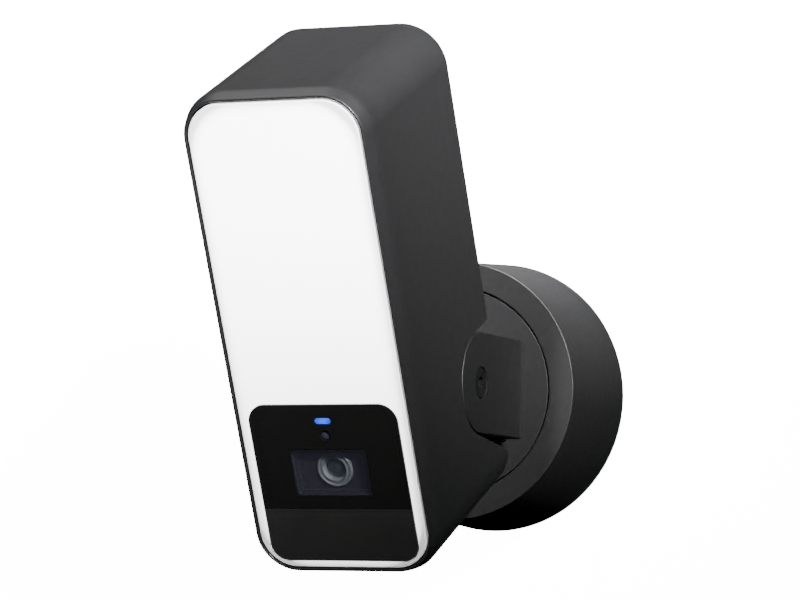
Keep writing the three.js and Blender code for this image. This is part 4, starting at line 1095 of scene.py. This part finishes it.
    def build_small(self) -> None:
        """Builds the status light's pipe and the light sensor's lens."""
        (half, up, z), (stem, end) = self.status, self.status_stem
        pipe = Solid.along_y(self.status_outline(-self.play), 0.0, self.window_thick).soften(0.2, 3)
        pipe.add(Solid.rod("y", stem, self.window_thick / 2, end, (0, z), 32))
        lit = {"turn": -self.tilt, "shift": self.shift(z), "half": (half * MM, up * MM)}
        blue = BlueLight("light_pipe_blue", "#2b5cff", 0.25, ior=1.58, **lit)
        hand_in(pipe.named("status_light", blue, self.place), Body.HEAD, "blue_light", "status_light_pipe")
        radius, height = self.sensor[0] - self.play, self.sensor[1]
        dome = [(radius * math.sin(a), 0.75 - 0.4 * math.cos(a)) for a in quarter(8)]
        lift = self.place @ Matrix.Translation((0, 0, height))
        lens = Solid.turned(dome + [(radius, 4.0), (0.0, 4.0)], 64)
        lens_piece = lens.named("light_sensor_dome", SENSOR_LENS, lift)
        hand_in(lens_piece, Body.HEAD, "grey_plastic", "light_sensor_lens")

    def build(self) -> None:
        """Builds the panel's pieces and hands them in."""
        hand_in(self.build_diffuser(), Body.HEAD, "opal_diffuser", "light_diffuser")
        gloss, satin = self.build_windows()
        hand_in(gloss, Body.HEAD, "black_gloss", "camera_window")
        hand_in(satin, Body.HEAD, "black_satin", "pir_window")
        self.build_lens()
        self.build_small()


@dataclass
class LightEngine:
    """What is behind the diffuser: LEDs and heat sink screws here, the rest from the frame."""

    sizes: HeadSizes
    place: Matrix
    leds: Leds = Leds()
    led_back: float = 20.3
    led_x: float = 12.475
    led_z: Flat = (6.575, 53.925)
    screws: Screws = Screws(2.7, 1.5, 1.5, 11.0, 1.5, turn=(math.pi / 2, 0.0, 0.0))
    screw_y: float = 22.2

    def build(self) -> None:
        """Builds the LEDs and the screws and hands them in."""
        y = self.led_back - self.leds.height / 2
        points = [(side.value * self.led_x, y, z) for z in self.led_z for side in Side]
        leds = self.leds.build("leds", points, PHOSPHOR, self.place)
        hand_in(leds, Body.HEAD, "led_phosphor", *(f"led_{k}" for k in range(1, 5)))
        points = [(x, self.screw_y, z) for x, z in self.sizes.screw_places]
        screws = self.screws.build("heat_sink_screws", points, ZINC_STEEL, self.place)
        hand_in(screws, Body.HEAD, "steel", *(f"heat_sink_screw_{k}" for k in range(1, 5)))


# ---------------------------------------------------------------- the arm
@dataclass
class ForkedArm:
    """The die-cast arm with its neck, the plate under it and the two hinge bolts."""

    half: float = 34.5
    radius: float = 17.9
    rear: float = -54.1
    rear_round: float = 14.0
    cheek: float = 27.0
    drum_room: float = 22.3
    neck_half: float = 26.0
    neck_end: float = -48.2
    neck_low: float = -7.0
    neck_high: float = 2.5
    flare: float = 2.0
    edge: float = 0.35
    cover_half: float = 28.0
    cover_back: float = -62.5
    cover_depth: float = 11.0
    cover_top: float = -19.0
    cover_thick: float = 0.9
    cover_corner: float = 2.0
    pocket_inset: float = 1.5
    pocket_top: float = 12.1
    bolt_face: float = 34.35
    bolt_head: float = 5.5
    bolt_height: float = 2.4
    bolt_shank: float = 2.6
    bolt_inner: float = 9.3
    bolt_play: float = 0.4
    socket: float = 4.2
    socket_depth: float = 1.8
    lead_hole: float = 2.8
    screw_hole: float = 2.3
    screw_y: float = -41.7
    screws: Screws = Screws(3.2, 1.8, 1.9, 11.0, 1.76, turn=(-math.pi / 2, 0.0, 0.0))

    def holes(self) -> list[Solid]:
        """The bolts' seats and holes, the screws' holes and the lead's."""
        seat = self.bolt_face - self.bolt_height - SEAM
        tools = []
        for sign in (-1, 1):
            near, far = sorted((sign * seat, sign * BEYOND))
            tools.append(Solid.rod("x", self.bolt_head + self.bolt_play, near, far, HINGE, 96))
            near, far = sorted((sign * 5.0, sign * BEYOND))
            tools.append(Solid.rod("x", self.bolt_shank + self.bolt_play, near, far, HINGE, 48))
            place = (sign * ARM_SCREW_X, LEAD_Z)
            tools.append(Solid.rod("y", self.screw_hole, self.neck_end - 9, 0, place, 32))
        return tools + [Solid.rod("y", self.lead_hole, HINGE[0], 0, (0, LEAD_Z), 32)]

    def build_arm(self) -> bpy.types.Object:
        """Builds the arm: its block with rounded edges first, then the rooms inside it."""
        (y, z), bend = HINGE, self.rear_round
        side = [(self.rear, z - self.radius), (self.rear, z + self.radius)]
        side += arc((y, z), self.radius, 90, 270, 64)
        plan = [(-self.half, y - 40), (self.half, y - 40)]
        plan += arc((self.half - bend, self.rear - bend), bend, 0, 90, 24)
        plan += arc((bend - self.half, self.rear - bend), bend, 90, 180, 24)
        block = Solid.along_x(side, -self.half - 1, self.half + 1)
        block.intersect(Solid.along_z(plan, -60, 60)).soften(self.edge, 3, 40.0)
        block.add(self.neck())
        room = Solid.rod("x", self.drum_room, -self.cheek, self.cheek, HINGE, 128)
        room.add(Solid.box((-self.cheek, y - 40, -60), (self.cheek, y, 60)))
        half, front = self.cover_half - self.pocket_inset, self.cover_back - self.cover_depth
        high = (half, self.cover_back - self.pocket_inset, self.pocket_top)
        block.cut(room, Solid.box((-half, front + self.pocket_inset, -60), high))
        block.cut(*self.holes())
        # The arm's darker coat is painted shade.
        return block.named("forked_arm", ARM_SHADED_COAT)

    def neck(self) -> Solid:
        """The flat neck, flared where it meets the disc."""
        half, flare, end = self.neck_half, self.flare, self.neck_end
        plan = [(-half, self.rear - 8), (half, self.rear - 8)]
        plan += arc((half + flare, end - flare), flare, 180, 90, 12)
        plan += arc((-half - flare, end - flare), flare, 90, 0, 12)
        return Solid.along_z(plan, self.neck_low, self.neck_high).soften(0.9, 4, 60.0)

    def build_cover(self) -> bpy.types.Object:
        """Builds the plate that closes the wiring pocket, with a rounded edge."""
        front, top = self.cover_back - self.cover_depth, self.cover_top
        plan = panel(self.cover_half, front, self.cover_back, self.cover_corner, 10)
        plate = Solid.along_z(plan, top - self.cover_thick, top).soften(0.25, 3)
        return plate.named("wiring_cover", ARM_SHADED_COAT)

    def build_bolt(self, side: Side) -> bpy.types.Object:
        """Builds one hinge bolt with a chamfered head and a hexagonal socket.

        Args:
            side: The side of the fork that it sits in.

        Returns:
            The bolt.
        """
        face, neck, r = self.bolt_face, self.bolt_face - self.bolt_height, self.bolt_head
        section = [(0.0, self.bolt_inner), (self.bolt_shank - 0.4, self.bolt_inner)]
        section += [(self.bolt_shank, self.bolt_inner + 0.4), (self.bolt_shank, neck), (r, neck)]
        section += [(r, face - 0.45), (r - 0.14, face - 0.14), (r - 0.45, face), (0.0, face)]
        bolt = Solid.turned(section, 96)
        hexagon = arc((0, 0), self.socket / math.sqrt(3), 30, 330, 5)
        bolt.cut(Solid.along_y(hexagon, face - self.socket_depth, BEYOND)).soften(0.1, 2, 45.0)
        turn = Matrix.Rotation(-side.value * math.pi / 2, 4, "Z")
        place = Matrix.Translation((0, *HINGE)) @ turn
        return bolt.named(f"hinge_bolt_{side.name.lower()}_finished", OXIDE_STEEL, place)

    def build(self) -> None:
        """Builds the arm's pieces and hands them in."""
        hand_in(self.build_arm(), Body.ARM, "coated_metal", "hinge_arm")
        hand_in(self.build_cover(), Body.ARM, "coated_metal", "arm_cover")
        for side in Side:
            hand_in(self.build_bolt(side), Body.ARM, "dark_steel", f"hinge_bolt_{side.name.lower()}")
        places = [(side.value * ARM_SCREW_X, self.screw_y, LEAD_Z) for side in Side]
        screws = self.screws.build("arm_screws", places, ZINC_STEEL)
        hand_in(screws, Body.ARM, "steel", "arm_screw_left", "arm_screw_right")


# ---------------------------------------------------------------- the wall mount
@dataclass
class WallMount:
    """The tapered cup, the disc that turns in its front ring, and what holds them to the wall."""

    radius: float = 48.2
    back_radius: float = 51.4
    depth: float = 48.3
    back: float = -1.5
    back_edge: float = 0.3
    wall: float = 2.4
    bore: float = 38.75
    lip: float = 3.0
    edge: float = 0.4
    disc: float = 38.2
    disc_face: float = -47.9
    disc_edge: float = 0.35
    flange: float = 40.4
    flange_play: float = 0.4
    flange_front: float = -44.0
    flange_back: float = -42.0
    post_radius: float = 2.3
    post_circle: float = 43.4
    thread_radius: float = 1.9
    lead_hole: float = 2.8
    screw_hole: float = 2.3
    lock_y: float = -9.0
    lock_hole: float = 2.4
    screw_y: float = -39.4
    screws: Screws = Screws(2.7, 1.5, 1.5, 5.0, 1.5, turn=(-math.pi / 2, 0.0, 0.0))

    def post_places(self) -> list[Flat]:
        """Middles of the three posts of the retaining ring."""
        turns = [math.radians(90 + 120 * k) for k in range(3)]
        return [(self.post_circle * math.cos(a), self.post_circle * math.sin(a)) for a in turns]

    def build_cup(self) -> bpy.types.Object:
        """Builds the cup: turned, with posts and the locking screw's hole."""
        face, lip, places = -self.depth, self.lip - self.depth, self.post_places()
        outer, back, edge = self.back_radius, self.back, self.edge
        section = [(outer - self.wall, back), (outer - self.back_edge, back), (outer, back - self.back_edge)]
        bend = [(edge * (1 - math.cos(a)), edge * (1 - math.sin(a))) for a in quarter(8)]
        section += [(self.radius - inward, face + back_by) for inward, back_by in bend]
        section += [(self.bore + 0.45, face), (self.bore + 0.12, face + 0.12), (self.bore, face + 0.45)]
        section += [(self.bore, lip), (self.radius - self.wall, lip)]
        cup = Solid.turned(section, 224)
        cup.add(*(Solid.rod("y", self.post_radius, lip - 1, self.flange_back, at, 40) for at in places))
        holes = [Solid.rod("y", self.thread_radius, lip - 1.5, 0, at, 28) for at in places]
        lock = Solid.rod("z", self.lock_hole, -BEYOND, 0, (0, self.lock_y), 32)
        cup.cut(*holes, lock, Solid.rod("y", self.flange + self.flange_play, lip, 0, (0, 0), 200))
        return cup.named("wall_cup_turned", CUP_COAT)

    def build_disc(self) -> bpy.types.Object:
        """Builds the disc with a fine chamfer, its flange and the holes behind the arm."""
        edge, radius, face = self.disc_edge, self.disc, self.disc_face
        section = [(0.0, self.flange_back), (self.flange, self.flange_back), (self.flange, self.flange_front)]
        section += [(radius, self.flange_front), (radius, face + edge)]
        section += [(radius - 0.3 * edge, face + 0.3 * edge), (radius - edge, face), (0.0, face)]
        disc = Solid.turned(section, 224)
        holes = ((self.lead_hole, 0), (self.screw_hole, -ARM_SCREW_X), (self.screw_hole, ARM_SCREW_X))
        disc.cut(*(Solid.rod("y", hole, -self.depth, 0, (x, LEAD_Z), 32) for hole, x in holes))
        return disc.named("swivel_disc_turned", CUP_COAT)

    def build(self, nodes: dict[str, bpy.types.Object]) -> None:
        """Builds the mount's pieces and hands them in.

        Args:
            nodes: The frame's nodes, of which some are copied and finished.
        """
        hand_in(self.build_cup(), Body.WALL, "coated_metal", "wall_cup")
        hand_in(self.build_disc(), Body.ARM, "coated_metal", "swivel_disc")
        places = [(x, self.screw_y, z) for x, z in self.post_places()]
        screws = self.screws.build("retaining_screws", places, ZINC_STEEL)
        hand_in(screws, Body.WALL, "steel", *(f"retaining_screw_{k}" for k in range(1, 4)))
        for name, edge, finish, slot in (
            ("wall_bracket", 0.3, ZINC_STEEL, "steel"),
            ("retaining_ring", 0.2, ZINC_STEEL, "steel"),
            ("terminal_block", 0.4, WHITE_PC, "white_plastic"),
            ("power_supply", 1.5, BLACK_ABS, "black_plastic"),
            ("cable_grommet", 0.4, SILICONE, "rubber"),
        ):
            hand_in(refine(nodes[name], edge, finish), Body.WALL, slot, name)


# ---------------------------------------------------------------- the rest of the frame's nodes
CARRIED: dict[str, Finish] = {
    "bezel_seal": SILICONE,
    "window_carrier": BLACK_ABS,
    "camera_board": GREEN_BOARD,
    "image_sensor": BLACK_ABS,
    "infrared_light_left": COATED_GLASS,
    "infrared_light_right": COATED_GLASS,
    "pir_sensor": MILLED_ALUMINIUM,
    "pir_board": GREEN_BOARD,
    "microphone": MILLED_ALUMINIUM,
    "light_reflector": WHITE_PC,
    "led_board": WHITE_BOARD,
    "heat_sink": MILLED_ALUMINIUM,
    "main_board": GREEN_BOARD,
    "antenna": MILLED_ALUMINIUM,
    "speaker": BLACK_ABS,
    "reset_switch": BLACK_ABS,
    "reset_button": BLACK_ABS,
    "hinge_shaft": ZINC_STEEL,
    "head_lead": SHEATH,
    "friction_washer_left": ZINC_STEEL,
    "friction_washer_right": ZINC_STEEL,
    "arm_lead": SHEATH,
    "friction_ring": SILICONE,
    "wall_gasket": SILICONE,
    "cup_locking_screw": OXIDE_STEEL,
}


def dress_nodes(nodes: dict[str, bpy.types.Object]) -> None:
    """Gives each node that stays its finish.

    Args:
        nodes: The frame's nodes.
    """
    for name, finish in CARRIED.items():
        materials = nodes[name].data.materials
        materials.clear()
        materials.append(finish.material())
        LOG.info("%s: kept, in %s", name, finish.name)


# ---------------------------------------------------------------- the studio
@dataclass
class Studio:
    """Camera, soft lights, and a plain wall and floor."""

    wall_half: float = 4.0
    wall_y: float = 0.0005
    floor: float = -0.75
    backdrop_glow: float = 15.0

    def camera(self) -> None:
        """Sets the camera low, in front and to the right."""
        data = bpy.data.cameras.new("camera")
        data.sensor_width, data.lens, data.clip_start = 36, 159.671, 0.01
        obj = put("camera", data)
        across = Vector((0.921743, 0.387517, 0.014875))
        down = Vector((-0.018072, 0.081238, -0.996531))
        ahead = Vector((-0.387381, 0.918276, 0.081884))
        place = Matrix((across, -down, -ahead)).transposed().to_4x4()
        place.translation = Vector((495.700, -1274.220, -75.023)) * MM
        obj.matrix_world = place
        bpy.context.scene.camera = obj

    def lamp(self, name: str, kind: str, at: Point, aim: Point, power: float, **settings: Any) -> None:
        """Hangs a lamp.

        Args:
            name: The lamp's name.
            kind: AREA for a soft box, SPOT for a cone.
            at: Its place in metres.
            aim: The point that it faces.
            power: Its power in watts.
            settings: The lamp's other properties.
        """
        data = bpy.data.lights.new(name, kind)
        data.energy = power
        for key, value in settings.items():
            setattr(data, key, value)
        obj = put(name, data)
        obj.location = at
        obj.rotation_euler = (Vector(aim) - Vector(at)).to_track_quat("-Z", "Y").to_euler()

    def lamps(self) -> None:
        """Hangs two soft boxes and three spots whose light falls off evenly to the rim of the cone."""
        middle = (0.0, -0.09, 0.02)
        for name, at, aim, size, cone, power in (
            ("overhead", (-0.3, -0.45, 0.9), middle, (0.9, 0.7), None, 4.6),
            ("side", (0.85, -1.0, 0.62), (0.02, -0.17, 0.17), 0.15, 13.4, 1270.0),
            ("fill", (-0.9, 0.0, 0.15), middle, (0.4, 0.4), None, 1.2),
            ("front", (-0.02, -1.3, 0.5), (0.055, -0.046, 0.02), 0.03, 7.0, 38.0),
            ("cup", (0.1, -0.022, 0.5), (0.0, -0.02, 0.05), 0.02, 20.0, 38.0),
        ):
            if cone is None:
                box = {"shape": "RECTANGLE", "size": size[0], "size_y": size[1]}
                self.lamp(name, "AREA", at, aim, power, **box)
            else:
                spot = {"shadow_soft_size": size, "spot_size": math.radians(cone), "spot_blend": 1.0}
                self.lamp(name, "SPOT", at, aim, power, **spot)

    def backdrop(self, name: str, corners: list[Point]) -> None:
        """Builds a pale matt plane that shows from its front only; its even light is for the camera alone.

        Args:
            name: The plane's name.
            corners: Its four corners in metres, counter-clockwise from its front.
        """
        mesh = bpy.data.meshes.new(name)
        mesh.from_pydata(corners, [], [tuple(range(len(corners)))])
        obj = put(name, mesh)
        material = bpy.data.materials.new(f"{name}_paint")
        tree = clear_tree(material)
        paint = add_node(tree, "ShaderNodeBsdfDiffuse", inputs={"Color": linear("#f4f4f4")})
        seen = add_node(tree, "ShaderNodeLightPath").outputs["Is Camera Ray"]
        power = {0: seen, 1: self.backdrop_glow}
        glow = add_node(tree, "ShaderNodeMath", {"operation": "MULTIPLY"}, power)
        shine = add_node(tree, "ShaderNodeEmission", inputs={"Strength": glow.outputs[0]})
        lit = add_node(tree, "ShaderNodeAddShader", inputs={0: paint.outputs[0], 1: shine.outputs[0]})
        clear = add_node(tree, "ShaderNodeBsdfTransparent")
        back = add_node(tree, "ShaderNodeNewGeometry").outputs["Backfacing"]
        sides = {0: back, 1: lit.outputs[0], 2: clear.outputs[0]}
        both = add_node(tree, "ShaderNodeMixShader", inputs=sides)
        add_node(tree, "ShaderNodeOutputMaterial", inputs={"Surface": both.outputs[0]})
        mesh.materials.append(material)
        obj.visible_diffuse = obj.visible_glossy = False

    def sky(self) -> None:
        """Lights the world very dimly from above, and as bright as the backdrops for the camera."""
        world = bpy.data.worlds.new("studio")
        bpy.context.scene.world = world
        tree = clear_tree(world)
        seen = add_node(tree, "ShaderNodeLightPath").outputs["Is Camera Ray"]
        way = add_node(tree, "ShaderNodeTexCoord").outputs["Generated"]
        rise = add_node(tree, "ShaderNodeSeparateXYZ", inputs={0: way}).outputs["Z"]
        ends = {"From Min": 0.0, "From Max": 1.0, "To Min": 0.0, "To Max": 0.03}
        dim = add_node(tree, "ShaderNodeMapRange", inputs={"Value": rise, **ends}).outputs["Result"]
        ends = {"To Min": dim, "To Max": self.backdrop_glow}
        level = add_node(tree, "ShaderNodeMapRange", inputs={"Value": seen, **ends}).outputs["Result"]
        light = add_node(tree, "ShaderNodeBackground", inputs={"Strength": level})
        add_node(tree, "ShaderNodeOutputWorld", inputs={"Surface": light.outputs[0]})

    def build(self) -> None:
        """Sets up the camera, the wall, the floor, the sky and the lamps."""
        self.camera()
        w, y, f = self.wall_half, self.wall_y, self.floor
        self.backdrop("wall", [(-w, y, -w), (w, y, -w), (w, y, w), (-w, y, w)])
        self.backdrop("floor", [(-w, -w, f), (w, -w, f), (w, y, f), (-w, y, f)])
        self.sky()
        self.lamps()


def main() -> None:
    """Builds every piece around the frame."""
    logging.basicConfig(level=logging.INFO, format="%(message)s")
    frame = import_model()
    hinge = next(joint for joint in frame["joints"] if joint["name"] == "head_tilt")
    tilt = math.radians(-hinge["range_deg"][0])
    pivot = Vector(hinge["pos_m"]) / MM
    sizes = HeadSizes()
    place = (
        Matrix.Translation(pivot)
        @ Matrix.Rotation(tilt, 4, "X")
        @ Matrix.Translation((0, -sizes.pivot[0], -sizes.pivot[1]))
    )
    Studio().build()
    Housing(sizes, place).build()
    FrontPanel(sizes, place, tilt).build()
    LightEngine(sizes, place).build()
    ForkedArm().build()
    WallMount().build(frame["nodes"])
    dress_nodes(frame["nodes"])


if __name__ == "__main__":
    main()
